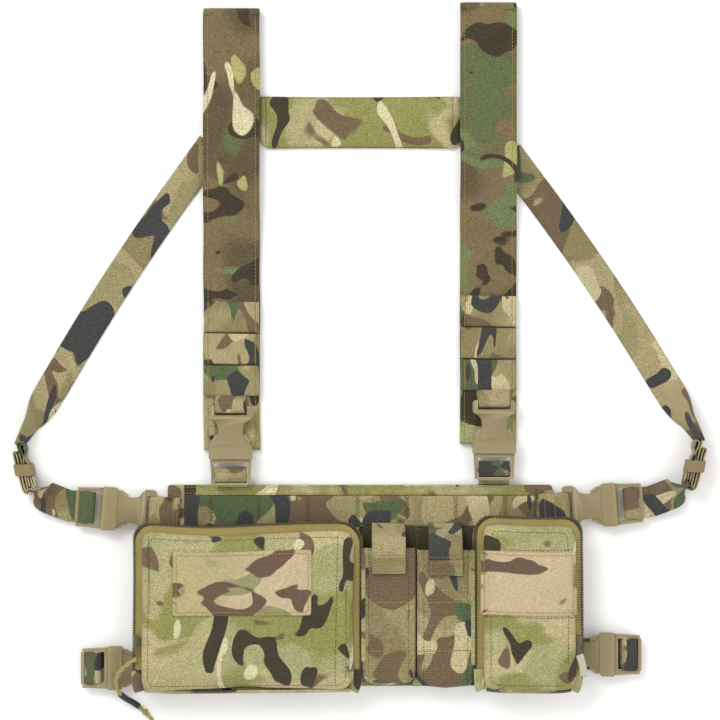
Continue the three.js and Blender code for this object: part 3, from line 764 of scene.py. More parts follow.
def soft_box(name, box, material, corners, draft=0.0, low_roll=1.5 * MM, high_roll=3 * MM):
    """A closed soft body: flat above and below, with rolled edges and sides drawn in by draft."""
    x0, x1, y0, y1, z0, z1 = box
    centre = Vector(((x0 + x1) / 2, (y0 + y1) / 2, 0))
    rings = []

    def ring(inset, z):
        radii = [max(r - inset * 0.6, 1 * MM) for r in corners]
        rings.append(rounded_loop(x0 + inset, x1 - inset, y0 + inset, y1 - inset, radii, z))

    ring(low_roll, z0)
    under = rings[0]
    rings.insert(0, scaled(under, centre, 0.55, z0))
    rings.insert(0, scaled(under, centre, 0.1, z0))
    for k in range(1, 4):
        turn = math.pi / 2 * k / 3
        ring(low_roll * (1 - math.sin(turn)), z0 + low_roll * (1 - math.cos(turn)))
    for k in range(1, 4):
        part = k / 4
        ring(draft * part, z0 + low_roll + (z1 - high_roll - z0 - low_roll) * part)
    for k in range(0, 5):
        turn = math.pi / 2 * k / 4
        ring(draft + high_roll * (1 - math.cos(turn)), z1 - high_roll * (1 - math.sin(turn)))
    over = rings[-1]
    for factor in (0.93, 0.84, 0.72, 0.58, 0.43, 0.27, 0.12):
        rings.append(scaled(over, centre, factor, z1))
    return loft(name, rings, material)


def overlay(name, loop, tree, thickness, material, fallback, edge=0.5 * MM, crown=0.0):
    """A thin closed patch lying on a surface, following it, with softly turned edges."""
    centre = sum(loop, Vector()) / len(loop)
    shares = (0.06, 0.2, 0.35, 0.5, 0.63, 0.75, 0.85, 0.93)
    rings = []

    def ring(factor, height, inset=0.0):
        made = []
        for p in loop:
            out = Vector((p.x - centre.x, p.y - centre.y, 0))
            q = centre + out * factor - out.normalized() * inset
            made.append(Vector((q.x, q.y, drop(tree, q.x, q.y, fallback) + height)))
        rings.append(made)

    for factor in shares:
        ring(factor, -0.3 * MM)
    ring(1, -0.2 * MM, edge)
    ring(1, thickness * 0.4)
    ring(1, thickness, edge)
    for factor in reversed(shares):
        ring(factor, thickness + crown * (1 - factor ** 2))
    return loft(name, rings, material)


def mark_print(obj):
    """Gives each piece its own place in the printed cloth, which then moves with the piece.

    A strap's fold shares the print of the run in front of it.
    """
    name = obj.name.replace("strap_fold", "strap_front")
    total = sum((index + 3) * ord(letter) for index, letter in enumerate(name))
    shift = Vector((0.37 * (total % 17), 0.53 * (total % 23), 0.29 * (total % 11)))
    layer = obj.data.attributes.new("print", "FLOAT_VECTOR", "POINT")
    places = np.array([v.co + shift for v in obj.data.vertices], np.float32)
    layer.data.foreach_set("vector", places.ravel())


def attach(obj, body, slot, *nodes, padded=None):
    """Gives a piece its place in the print, makes it ride on a body and hides the CAD parts it
    stands for; body is None if it is blended.
    """
    mark_print(obj)
    if body:
        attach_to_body(obj, body)
    if nodes:
        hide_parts(*nodes)
    return obj


def sew(name, lines, tree, body, slot, material, pitch, length, radius, **kinds):
    """Stitches that ride on a body."""
    made = stitches(name, lines, tree, material, pitch, length, radius, **kinds)
    return attach(made, body, slot)


def wrinkles(obj, size, scale, seed, stretch=(1, 1), only_top=None):
    """Broad soft folds pressed into the upper surfaces."""
    for v in obj.data.vertices:
        if v.normal.z < 0.2 or (only_top is not None and v.co.z < only_top):
            continue
        at_point = Vector((v.co.x * stretch[0], v.co.y * stretch[1], seed)) * scale
        v.co.z += size * noise.noise(at_point)
    obj.data.update()
    return obj


# ---- Zipped pouches -----------------------------------------------------------------------
def tray_shell(name, rim, back, material, corners):
    """An open pouch body: bowed outer walls, a rolled rim, and the lining inside."""
    rings = []
    z0, z1 = back[4], rim[4]
    wall = 3.0 * MM

    def ring(part, inset, z, bow=0.0):
        sides = [back[i] + (rim[i] - back[i]) * part for i in range(4)]
        radii = [max(r - inset * 0.7, 2 * MM) for r in corners]
        rings.append(rounded_loop(sides[0] + inset - bow, sides[1] - inset + bow,
                                  sides[2] + inset - bow * 0.4, sides[3] - inset + bow, radii, z))

    reach = min(back[1] - back[0], back[3] - back[2])
    for share in (0.42, 0.3, 0.15, 0.05, 0.01):
        ring(0, share * reach, z0)
    for k in range(1, 8):
        part = k / 8
        ring(part ** 0.8, 0, z0 + (z1 - z0 - 1 * MM) * part, 2.2 * MM * math.sin(math.pi * part))
    ring(1, 0.2 * MM, z1 - 0.5 * MM)
    ring(1, 1.2 * MM, z1)
    ring(1, wall, z1 - 0.3 * MM)
    for k in range(1, 6):
        part = k / 6
        ring(1 - part * 0.8, wall + 0.6 * MM, z1 - (z1 - z0 - 3 * MM) * part)
    for share in (0.09, 0.18, 0.3, 0.42):
        ring(0.2, share * reach, z0 + 2.2 * MM)
    obj = loft(name, rings, material)
    obj.data.materials.append(LINING_AND_SHADE)
    inner = z0 + 1.8 * MM
    count = len(rings[0])
    outside = 5 + 7 + 2
    for index, face in enumerate(obj.data.polygons):
        if index // count >= outside and face.center.z > inner:
            face.material_index = 1
    return obj


def band(name, loop_points, width, thickness, lean, z, material):
    """Tape laid along an open path round a rim, leaning outwards by lean radians."""
    path = even([Vector((p.x, p.y, z)) for p in loop_points], 1.5 * MM)
    ways = tangents(path)
    across = []
    for way in ways:
        out = way.cross(UP)
        across.append(out * math.cos(lean) - UP * math.sin(lean))
    section = flat_section(width, thickness, 6)
    return sweep(name, path, section, material, across)


COIL_RADIUS = 1.3 * MM
COIL_PITCH = 2.0 * MM
TOOTH = (0.95, 1.25, 0.85, 0.35)   # the bead's radius in four steps along each tooth


def coil(name, loop_points, z):
    """The zip's coil: a bead that swells and narrows tooth by tooth."""
    path = even([Vector((p.x, p.y, z)) for p in loop_points], COIL_PITCH / len(TOOTH))
    ways = tangents(path)
    sides = 8
    rings = []
    for i, (p, way) in enumerate(zip(path, ways)):
        size = COIL_RADIUS * TOOTH[i % len(TOOTH)]
        out = way.cross(UP)
        rings.append([p + (out * math.cos(2 * math.pi * k / sides) * 1.15
                           + UP * math.sin(2 * math.pi * k / sides)) * size
                      for k in range(sides)])
    return loft(name, rings, COIL)


def plan_of(loop):
    """A closed loop's points as (x, y), back to the first."""
    return [(p.x, p.y) for p in loop + loop[:1]]


def open_run(rect, corners, z, start_y):
    """The left, upper and right sides of a rounded rectangle as one open path."""
    loop = rounded_loop(*rect, corners, z, arc=10, edge=20)
    middle = (rect[0] + rect[1]) / 2
    first = next(i for i, p in enumerate(loop) if p.x > middle and p.y > start_y)
    kept = []
    for p in loop[first:] + loop[:first]:
        if p.y < start_y and kept and p.x < middle:
            break
        kept.append(p)
    kept.insert(0, Vector((rect[1], start_y, z)))
    kept.append(Vector((rect[0], start_y, z)))
    return kept


# Backs of the zipped pouches, where they are sewn to the panel
BACK_HALF = 151 * MM     # outer edge, from the rig's middle
BACK_LOW = -80.2 * MM
BACK_HIGH = {"admin": 38.2 * MM, "utility": 40 * MM}
LID_GROW = 1.2 * MM      # a lid starts this much larger all round, and draws in as it swells
TAPE_WIDTH = 9.6 * MM
TAPE_INSET = 5.2 * MM    # the tape's middle line inside its outer edge
COIL_INSET = 0.5 * MM
TAPE_SEAM_INSET = 2.6 * MM


def waver(p):
    """Soft goods never run dead straight: a slow sideways drift of every edge."""
    return Vector((1.1 * MM * noise.noise(Vector((p.x * 3, p.y * 16, 5.0))),
                   1.1 * MM * noise.noise(Vector((p.x * 16, p.y * 3, 9.0))), 0))


def pouch(side, corners, lid_corners, dip, dip_x, patch_crown):
    """One zipped pouch: tray, zip tape and coil on the rig; lid and patch on the cover."""
    admin = side == "admin"
    x0, x1, y0, y1, z0, z1 = span(side + "_tray")
    rim = (x0 + 0.4 * MM, x1 - 0.4 * MM, y0 + 1 * MM, y1 - 0.4 * MM, z1)
    back = (-BACK_HALF if admin else x0, x1 if admin else BACK_HALF,
            BACK_LOW, BACK_HIGH[side], z0)
    tray = tray_shell(side + "_tray_body", rim, back, FABRIC, corners)
    attach(tray, "rig", "camo_fabric", side + "_tray")

    # lid: swollen by its contents, flat where it closes on the rim
    lx0, lx1, ly0, ly1, lz0, lz1 = span(side + "_lid")
    start = (lx0 - LID_GROW, lx1 + LID_GROW, ly0 + 0.2 * MM, ly1 + LID_GROW,
             lz0, lz1 - 1.6 * MM)
    body = soft_box(side + "_lid_body", start, FABRIC, lid_corners, draft=0.6 * MM,
                    high_roll=4.5 * MM)
    puff(body, pressure=4.2, voxel=4 * MM, cap=5 * MM, frames=16, floor=lz0, draw_in=0.3)
    wrinkles(body, 1.8 * MM, 26, 3.1 if admin else 7.7, (1, 1.5), lz0 + 4 * MM)
    px0, px1, py0, py1 = span(side + "_patch")[:4]
    if admin:
        seams = [((lx0 + 7 * MM, py1 + 10 * MM), (lx0 + 8 * MM, py0 + 4 * MM)),
                 ((lx1 - 13 * MM, ly1 - 6 * MM), (lx1 - 15 * MM, ly0 + 8 * MM))]
    else:
        seams = [((lx0 + 3 * MM, py0 - 1 * MM), (lx1 - 3 * MM, py0 - 1 * MM)),
                 ((lx0 + 3 * MM, py1 + 1 * MM), (lx1 - 3 * MM, py1 + 1 * MM))]
    for a, b in seams:
        sculpt(body, lambda p, a=a, b=b: Vector((0, 0, -crease(p, a, b, 2.2 * MM, 0.8 * MM)
                                                 if p.z > lz0 + 5 * MM else 0)))
    tree = tree_of(body)
    attach(body, side + "_cover", "camo_fabric", side + "_lid", padded=0.5)
    patch_loop = rounded_loop(px0 + 0.5 * MM, px1 - 0.5 * MM, py0 + 0.5 * MM, py1 - 0.5 * MM,
                              [2 * MM] * 4, arc=4, edge=22)
    patch = overlay(side + "_patch_face", patch_loop, tree, 1.3 * MM, LOOP, lz1, crown=patch_crown)
    attach(patch, side + "_cover", "loop_fabric", side + "_patch")
    both = tree_of(body, patch)
    inset = 3.2 * MM
    border = rounded_loop(px0 + inset, px1 - inset, py0 + inset, py1 - inset, [1 * MM] * 4)
    sew(side + "_patch_stitching", [plan_of(border)], both, side + "_cover", "camo_fabric",
        THREAD, 2.6 * MM, 1.9 * MM, 0.4 * MM)
    edge = rounded_loop(lx0 + 6.5 * MM, lx1 - 6.5 * MM, ly0 + 6 * MM, ly1 - 6 * MM,
                        [max(r - 4 * MM, 2 * MM) for r in lid_corners])
    lines = [plan_of(edge)] + [list(seam) for seam in seams]
    sew(side + "_lid_stitching", lines, tree, side + "_cover", "camo_fabric",
        THREAD_DARK, 2.8 * MM, 2.0 * MM, 0.3 * MM, lift=0.1 * MM)

    # zip tape and coil round the rim
    tx0, tx1, _, ty1, tz0, tz1 = span(side + "_zip_tape")
    low_end = ly0 + 15 * MM

    def run_inside(inset, end):
        return open_run((tx0 + inset, tx1 - inset, ly0, ty1 - inset), corners, tz0, end)

    tape = band(side + "_zip_tape_cloth", run_inside(TAPE_INSET, low_end), TAPE_WIDTH, 1.1 * MM,
                0.1, tz1 - 0.5 * MM, TAPE)
    attach(tape, "rig", "zip_tape", side + "_zip_tape")
    teeth = coil(side + "_zip_coil", run_inside(COIL_INSET, low_end), tz0 + 0.3 * MM)
    attach(teeth, "rig", "zip_tape")
    lines = [[(p.x, p.y) for p in run_inside(TAPE_SEAM_INSET, low_end + 2 * MM)]]
    sew(side + "_tape_stitching", lines, tree_of(tape), "rig", "zip_tape",
        THREAD, 2.4 * MM, 1.7 * MM, 0.22 * MM, fallback=tz1)

    # fabric hinge along the lower edge, sewn to the tray and to the lid
    fold = lz0 + 0.2 * MM
    path = [Vector((lx0 + 3.4 * MM + (lx1 - lx0 - 6.8 * MM) * k / 10,
                    ly0 + (0.5 + 0.9 * (abs(k - 5) / 5) ** 8) * MM, fold)) for k in range(11)]
    hinge = strip(side + "_lid_hinge", path, FABRIC, 10 * MM, 1.2 * MM, across=(0, 0.3, 1),
                  step=3 * MM)

    # garage tabs over the tape's two lower ends
    for word, x in (("left", tx0 + 2.6 * MM), ("right", tx1 - 3.2 * MM)):
        lean = 1.2 * MM if word == "left" else -1.8 * MM
        path = [Vector((x, low_end + 3 * MM, tz1 + 0.5 * MM)),
                Vector((x + lean * 0.2, low_end - 4 * MM, tz1 + 0.4 * MM)),
                Vector((x + lean * 0.8, low_end - 11 * MM, tz1 - 2.4 * MM)),
                Vector((x + lean * 1.6, ly0 + 0.4 * MM, tz1 - 8 * MM))]
        tab = strip(side + "_zip_garage_" + word, path, FABRIC, 8.4 * MM, 1.4 * MM, step=1.4 * MM)
        attach(tab, "rig", "camo_fabric")

    def warp(p):
        """The loaded pouch sags at its upper edge, and no edge runs dead straight."""
        high = max(0.0, (p.y - (y0 + y1) / 2) / ((y1 - y0) / 2))
        sag = dip * high * math.exp(-((p.x - dip_x) / (38 * MM)) ** 2)
        return waver(p) - Vector((0, sag, 0))

    for obj in list(bpy.context.scene.objects):
        ours = obj.type == "MESH" and obj.name not in frame["nodes"]
        if ours and obj.name.startswith(side + "_") and "pull" not in obj.name:
            sculpt(obj, warp)
    mark_print(hinge)
    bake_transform(hinge)


def build_pouches():
    pouch("admin", [13 * MM, 15 * MM, 13 * MM, 12 * MM], [9 * MM, 12 * MM, 10 * MM, 10 * MM],
          3.0 * MM, -120 * MM, 0.5 * MM)
    pouch("utility", [14 * MM, 12 * MM, 12 * MM, 12 * MM], [10 * MM, 9 * MM, 10 * MM, 9 * MM],
          0.8 * MM, 135 * MM, 0.4 * MM)


build_pouches()


# ---- Panel --------------------------------------------------------------------------------
MOLLE_TACKS = (-153.0, -119.6, -81, -41.6, -2, 37.6, 76.8, 116.6, 152.0)   # x, mm


def build_panel():
    x0, x1, y0, y1, z0, z1 = span("chest_panel")
    panel = soft_box("panel_body", (x0, x1, y0, y1, z0 + 1.7 * MM, z1), FABRIC, [3 * MM] * 4,
                     low_roll=1.5 * MM, high_roll=1.6 * MM)
    attach(panel, "rig", "camo_fabric", "chest_panel", padded=0.3)
    hx0, hx1, hy0, hy1, hz0, hz1 = span("panel_hem")
    path = [Vector((hx0 + (hx1 - hx0) * k / 14, (hy0 + hy1) / 2, (hz0 + hz1) / 2))
            for k in range(15)]
    hem = strip("panel_hem_fold", path, FABRIC, hy1 - hy0, 1.3 * MM, ripple=0.5 * MM)
    attach(hem, "rig", "camo_fabric", "panel_hem")
    tree = tree_of(hem, panel)
    lines = [[(hx0, y), (hx1, y)] for y in (hy0 + 1.3 * MM, hy1 - 1.8 * MM)]
    sew("panel_hem_stitching", lines, tree, "rig", "camo_fabric",
        THREAD, 2.8 * MM, 2.0 * MM, 0.3 * MM)

    # MOLLE rows: webbing that rises a little between its bar tacks
    tacks = [min(max(t * MM, x0 + 1.5 * MM), x1 - 1.5 * MM) for t in MOLLE_TACKS]
    for row in ("upper", "lower"):
        rx0, rx1, ry0, ry1, rz0, rz1 = span("molle_row_" + row)
        inside = [t for t in tacks if rx0 < t < rx1]
        stops = [rx0] + inside + [rx1]
        path = []
        for a, b in zip(stops, stops[1:]):
            for k in range(6):
                t = k / 6
                rise = (0.5 if row == "upper" else 1.2) * MM * math.sin(math.pi * t)
                path.append(Vector((a + (b - a) * t, (ry0 + ry1) / 2, (rz0 + rz1) / 2 + rise)))
        path.append(Vector((rx1, (ry0 + ry1) / 2, (rz0 + rz1) / 2)))
        web = strip("molle_web_" + row, path, WEBBING, ry1 - ry0)
        attach(web, "rig", "camo_webbing", "molle_row_" + row)
        lines = []
        low = ry0 + (5.4 * MM if row == "upper" else 0.8 * MM)
        for t in inside:
            lines += [[(t - 0.5 * MM, low), (t - 0.5 * MM, ry1 - 0.8 * MM)],
                      [(t + 0.5 * MM, ry1 - 0.8 * MM), (t + 0.5 * MM, low)]]
        sew("molle_tacks_" + row, lines, tree_of(web), "rig", "camo_webbing",
            THREAD_DARK, 1.5 * MM, 1.6 * MM, 0.42 * MM, zigzag=0.7 * MM)


build_panel()


# ---- Magazine pouches ---------------------------------------------------------------------
MAG_SLICES = 9                        # slices along a magazine pouch
MAG_SEAMS = (-12.0 * MM, -50.4 * MM)  # heights of the two seams across its face


def mag_pouch(side):
    """An open-topped pouch faced with webbing and bound down its sides, with its pull flap."""
    x0, x1, y0, y1, z0, z1 = span("mag_pouch_" + side)
    rings = []
    wall = 2.2 * MM
    inner = 1.6 * MM
    outline = []
    for part in range(MAG_SLICES):
        t = part / (MAG_SLICES - 1)
        y = y0 + (y1 - y0) * t
        belly = 1.4 * MM * math.sin(math.pi * min(1, t * 1.1))
        foot = 5 * MM * (1 - min(1, t * 5)) ** 2
        outline.append((y, belly - foot))

    def tube(y, lift, shrink, z_low):
        """A slice across the pouch: a low rounded box."""
        top = z1 + lift - shrink
        slice_points = []
        wide0, wide1 = x0 + shrink, x1 - shrink
        r = max(3.0 * MM - shrink * 0.5, 0.8 * MM)
        for cx, cz, start in ((wide0 + r, z_low + r * 0.4, math.pi), (wide1 - r, z_low + r * 0.4,
                              1.5 * math.pi), (wide1 - r, top - r, 0), (wide0 + r, top - r,
                              0.5 * math.pi)):
            for k in range(5):
                a = start + math.pi / 2 * k / 4
                slice_points.append(Vector((cx + r * math.cos(a), y,
                                            max(z_low, cz + r * math.sin(a)))))
        return slice_points

    for y, lift in outline:
        rings.append(tube(y, lift, 0, z0))
    rings.append(tube(y1 + 0.3 * MM, outline[-1][1] - 0.2 * MM, 1.0 * MM, z0 + inner * 0.5))
    for y, lift in reversed(outline[1:]):
        rings.append(tube(y, lift, wall, z0 + inner))
    rings.append(tube(y0 + wall * 1.5, outline[0][1] - 1 * MM, wall * 1.2, z0 + inner * 1.2))
    body = loft("mag_pouch_body_" + side, rings, WEBBING)
    body.data.materials.append(LINING_AND_SHADE)
    ring_size = len(rings[0])
    foot_face = len(body.data.polygons) - 2
    for index, face in enumerate(body.data.polygons):
        if index // ring_size >= MAG_SLICES and index != foot_face:
            face.material_index = 1
    add_plan_uv(body)
    sub = body.modifiers.new("round", "SUBSURF")
    sub.levels = sub.render_levels = 1
    apply_all(body)
    wrinkles(body, 0.7 * MM, 40, 1.7 if side == "left" else 5.1, (1, 1), z1 - 6 * MM)
    attach(body, "rig", "camo_webbing", "mag_pouch_" + side)
    tree = tree_of(body)
    x = x0 + 1.3 * MM if side == "left" else x1 - 1.3 * MM
    path = [Vector((x, y, drop(tree, x, y, z1) + 0.1 * MM))
            for y in np.linspace(y0 + 20 * MM, y1 - 0.4 * MM, 18)]
    binding = strip("mag_binding_" + side, path, FABRIC, 3.6 * MM, 1.2 * MM)
    attach(binding, "rig", "camo_fabric")
    # The back panel above the mouth: a dark piece of painted shade, where the pouch's back wall
    # lies in shadow.
    back = soft_box("mag_back_" + side, (x0 + 0.4 * MM, x1 - 0.4 * MM, y1 - 4 * MM, y1 + 17 * MM,
                                         z0 + 0.1 * MM, z0 + 2.6 * MM), LINING_AND_SHADE, [1 * MM] * 4,
                    low_roll=0.4 * MM, high_roll=0.8 * MM)
    attach(back, "rig", "camo_fabric")
    lines = []
    for y in MAG_SEAMS:
        lines.append([(x0 + 2 * MM, y), (x1 - 2 * MM, y + 0.4 * MM)])
    sew("mag_stitching_" + side, lines, tree, "rig", "camo_webbing",
        THREAD, 2.4 * MM, 2.0 * MM, 0.5 * MM)
    lines = [[(x, y0 + 3 * MM), (x, y1 - 1 * MM)] for x in (x0 + 5.6 * MM, x1 - 5.6 * MM)]
    sew("mag_side_stitching_" + side, lines, tree, "rig", "camo_webbing",
        THREAD_DARK, 2.4 * MM, 1.8 * MM, 0.25 * MM)
    mag_flap(side, tree)


def add_plan_uv(obj):
    """UVs from above, in metres, with ribs running across the piece."""
    layer = obj.data.uv_layers.new(name="UVMap")
    for loop in obj.data.loops:
        p = obj.data.vertices[loop.vertex_index].co
        layer.data[loop.index].uv = (p.y - p.z * 0.6, p.x)


def mag_flap(side, tree):
    """The retention strap: sewn at its root, up over the pouch mouth, with a folded grab tab."""
    x0, x1, y0, y1, z0, z1 = span("mag_flap_" + side)
    middle_x = (x0 + x1) / 2
    front = drop(tree, middle_x, y0 + 6 * MM, z1)
    mouth = span("mag_pouch_" + side)[3]
    path = [(middle_x, y1 - 0.6 * MM, z0 + 0.9 * MM),
            (middle_x, y1 - 5 * MM, z0 + 6 * MM),
            (middle_x, mouth + 9 * MM, front - 4 * MM),
            (middle_x, mouth + 2 * MM, front + 1.0 * MM),
            (middle_x, mouth - 6 * MM, front + 1.5 * MM),
            (middle_x, y0 + 0.6 * MM, front + 1.5 * MM)]
    web = strip("mag_flap_web_" + side, path, WEBBING, x1 - x0, ripple=0.4 * MM, seed=2.0)
    body = "mag_flap_" + side
    attach(web, body, "camo_webbing", body)
    under = tree_of(web)
    depth = 12.5 * MM
    loop = rounded_loop(x0 - 0.2 * MM, x1 + 0.2 * MM, y0 - 0.2 * MM, y0 + depth, [0.8 * MM] * 4)
    tab = overlay("mag_grab_tab_" + side, loop, under, 1.5 * MM, WEBBING, front + 2 * MM,
                  edge=0.4 * MM)
    add_plan_uv(tab)
    attach(tab, body, "camo_webbing")
    both = tree_of(web, tab)
    inset = 2.0 * MM
    box = rounded_loop(x0 + inset, x1 - inset, y0 + inset, y0 + depth - inset, [0.6 * MM] * 4)
    lines = [plan_of(box), [(x0 + inset, y0 + depth + 2 * MM), (x1 - inset, y0 + depth + 2 * MM)]]
    sew("mag_tab_stitching_" + side, lines, both, body, "camo_webbing",
        THREAD, 2.0 * MM, 1.6 * MM, 0.32 * MM)


for word in ("left", "right"):
    mag_pouch(word)


# ---- Shoulder straps and yoke -------------------------------------------------------------
REAR_START = {"left": 297.5 * MM, "right": 302.2 * MM}   # where the folded-back run ends
STRAP_PAD = 6 * MM                                       # thickness of the front run


def shoulder_strap(side, sign):
    """A long padded strap: it comes up the front, folds at the top and runs back underneath."""
    x0, x1, y0, y1 = span("shoulder_strap_" + side)[:4]
    x = (x0 + x1) / 2
    width = x1 - x0 - 1 * MM
    ladder_top = span("strap_ladder_{}_1".format(side))[3]
    path = [(x, y0 + 0.5 * MM, 3.1 * MM), (x, ladder_top - 10 * MM, 3.1 * MM),
            (x, ladder_top + 14 * MM, 3.6 * MM)]
    rear_start = REAR_START[side]
    path += [(x, rear_start - 34 * MM, 3.6 * MM), (x, rear_start - 12 * MM, 5.4 * MM),
             (x, rear_start + 12 * MM, 9.0 * MM), (x, rear_start + 30 * MM, 9.7 * MM),
             (x, y1 - 30 * MM, 9.6 * MM), (x, y1 - 8 * MM, 9.4 * MM), (x, y1 - 2.6 * MM, 8.4 * MM)]
    front = sweep("strap_front_" + side, resample([Vector(p) for p in path], 3 * MM),
                  padded_section(width, STRAP_PAD), FABRIC_DARK)

    def settle(p):
        """Diagonal wrinkles, wavering edges, and a swell above the ladder."""
        inside = max(0.0, 1 - (abs(p.x - x) / (width / 2)) ** 4)
        above = math.exp(-((p.y - ladder_top - 16 * MM) / (11 * MM)) ** 2)
        fold = noise.noise(Vector((p.x * 0.6 + p.y * 0.5 * sign, p.y - p.x * 0.4, sign)) * 42)
        upper = 1 if p.z > 3.3 * MM else 0
        edge = 0.8 * MM * noise.noise(Vector((sign * 3, p.y * 22, 0.4)))
        edge *= abs(p.x - x) / (width / 2)
        fine = noise.noise(Vector((p.x * 0.5 - p.y * 0.9 * sign, p.y * 0.3 + p.x, 4.4)) * 90)
        return Vector((edge, 0, upper * inside * (1.9 * MM * fold + 0.5 * MM * fine
                                                  + 1.8 * MM * above)))

    sculpt(front, settle)
    front.data.materials.append(FABRIC)
    ladder_foot = span("strap_ladder_{}_3".format(side))[2]
    for face in front.data.polygons:
        if face.center.y < ladder_foot + 3 * MM:
            face.material_index = 1
    attach(front, "harness", "strap_fabric", "shoulder_strap_" + side, padded=0.35)
    rear_path = [(x, rear_start + 1 * MM, 2.9 * MM), (x, (rear_start + y1) / 2, 2.9 * MM),
                 (x, y1 - 4 * MM, 2.9 * MM)]
    rear = sweep("strap_rear_" + side, resample([Vector(p) for p in rear_path], 4 * MM),
                 padded_section(width - 1 * MM, 5.6 * MM), FABRIC_DARK)
    attach(rear, "harness", "strap_fabric", padded=0.35)
    crest = y1 - 2.6 * MM
    turn = resample([Vector((x, crest + y * MM, z * MM)) for y, z in
                     ((-2, 1.2), (1.2, 2.2), (2.2, 6.2), (1.0, 10.2), (-3, 10.9))], 1.4 * MM)
    fold = sweep("strap_fold_" + side, turn, flat_section(width, WEB_T), FABRIC_DARK,
                 [Vector((1, 0, 0))] * len(turn))
    attach(fold, "harness", "strap_fabric")
    lines = [[(x + s * (width / 2 - 3.4 * MM), y0 + 3 * MM),
              (x + s * (width / 2 - 3.4 * MM), y1 - 4 * MM)] for s in (-1, 1)]
    sew("strap_stitching_" + side, lines, tree_of(front), "harness", "strap_fabric",
        THREAD, 2.8 * MM, 2.0 * MM, 0.36 * MM)
    ladder(side)


def ladder(side):
    """Three rows of webbing across the strap, sewn near both ends."""
    for row in (1, 2, 3):
        node = "strap_ladder_{}_{}".format(side, row)
        x0, x1, y0, y1, z0, z1 = span(node)
        y = (y0 + y1) / 2
        path = []
        for k in range(13):
            t = k / 12
            px = x0 + 0.3 * MM + (x1 - x0 - 0.6 * MM) * t
            rise = 1.5 * MM * math.sin(math.pi * t) ** 0.7
            path.append((px, y + 0.3 * MM * math.sin(3 * t + row),
                         (z0 + z1) / 2 - 0.3 * MM + rise))
        web = strip("ladder_web_{}_{}".format(side, row), path, WEBBING, y1 - y0 - 0.5 * MM)
        attach(web, "harness", "camo_webbing", node)
        lines = [[(x0 + 3.6 * MM, y0 + 1 * MM), (x0 + 3.6 * MM, y1 - 1 * MM)],
                 [(x1 - 3.6 * MM, y0 + 1 * MM), (x1 - 3.6 * MM, y1 - 1 * MM)]]
        sew("ladder_stitching_{}_{}".format(side, row), lines, tree_of(web), "harness",
            "camo_webbing", THREAD, 2.4 * MM, 2.0 * MM, 0.5 * MM)


def build_yoke():
    x0, x1, y0, y1, z0, z1 = span("back_yoke")
    start = (x0 - 3.0 * MM, x1 + 3.0 * MM, y0 + 0.6 * MM, y1 - 0.6 * MM, z0, z1 - 1.4 * MM)
    body = soft_box("back_yoke_pad", start, FABRIC, [12 * MM, 10 * MM, 2.5 * MM, 2.5 * MM],
                    low_roll=1.2 * MM, high_roll=2.0 * MM)
    puff(body, pressure=3.2, voxel=2.6 * MM, cap=2.6 * MM, frames=10, floor=z0)
    wrinkles(body, 0.9 * MM, 34, 11.3, (0.7, 1.4), z1 - 2.5 * MM)
    for a, b in (((x0 + 4 * MM, y0), (x0 + 4 * MM, y1)), ((x1 - 5 * MM, y0), (x1 - 5 * MM, y1)),
                 ((x0, y0 + 3.5 * MM), (x1, y0 + 3.5 * MM))):
        sculpt(body, lambda p, a=a, b=b: Vector((0, 0, -crease(p, a, b, 1.6 * MM, 0.9 * MM)
                                                 if p.z > 2.5 * MM else 0)))
    attach(body, "harness", "camo_fabric", "back_yoke", padded=0.4)
    lines = [[(x0 + 4 * MM, y0 + 8 * MM), (x0 + 4 * MM, y1 - 3 * MM)],
             [(x1 - 5 * MM, y0 + 8 * MM), (x1 - 5 * MM, y1 - 3 * MM)],
             [(x0 + 12 * MM, y0 + 3.5 * MM), (x1 - 10 * MM, y0 + 3.5 * MM)],
             [(x0 + 4 * MM, y1 - 3.2 * MM), (x1 - 5 * MM, y1 - 3.2 * MM)]]
    sew("yoke_stitching", lines, tree_of(body), "harness", "camo_fabric",
        THREAD_DARK, 2.8 * MM, 2.0 * MM, 0.3 * MM)


for word, hand in SIDES:
    shoulder_strap(word, hand)
build_yoke()


# ---- Buckles and their webbing ------------------------------------------------------------
# name: mouth point in mm, and the way the plug leaves, in degrees
BUCKLES = {
    "shoulder_left": ((-103.5, 101.3, 12.2), -90),
    "shoulder_right": ((107.4, 106.0, 12.2), -90),
    "upper_left": ((-206.8, 62.2, 8.0), 176),
    "upper_right": ((205.7, 65.3, 8.0), 4),
    "lower_left": ((-202.3, -66.0, 8.0), 180),
    "lower_right": ((204.1, -55.1, 8.0), 0),
}
SOCKET_BAR = -41.25    # bar centre, mm behind the mouth
PLUG_BAR = 12.95       # bar centre, mm in front of the mouth
WRAP = 3.6             # radius of a webbing loop's middle line, mm


def buckle_point(name, u, v=0.0, z=0.0):
    """A point of a buckle: u along the plug's way out, v across, z up from its middle, in mm."""
    (mx, my, mz), heading = BUCKLES[name]
    a = math.radians(heading)
    return at(mx + u * math.cos(a) - v * math.sin(a), my + u * math.sin(a) + v * math.cos(a),
              mz + z)


def loop_profile(bar, toward, under=WRAP):
    """Webbing round a bar seen from the side: (u, z) from the upper layer to the lower one.

    under is how far the lower layer lies below the bar's middle.
    """
    made = []
    reach = 6.6 if bar > 0 else WRAP
    for k in range(9):
        a = math.radians(70 + 190 * k / 8)
        far = reach if math.cos(a) < 0 else WRAP
        depth = WRAP if math.sin(a) > 0 else under
        made.append((bar + toward * far * math.cos(a), depth * math.sin(a)))
    return made


def side_names():
    for word, _ in SIDES:
        for level in ("upper", "lower"):
            yield level, word, "{}_{}".format(level, word)


def across_of(name):
    a = math.radians(BUCKLES[name][1])
    return Vector((-math.sin(a), math.cos(a), 0))


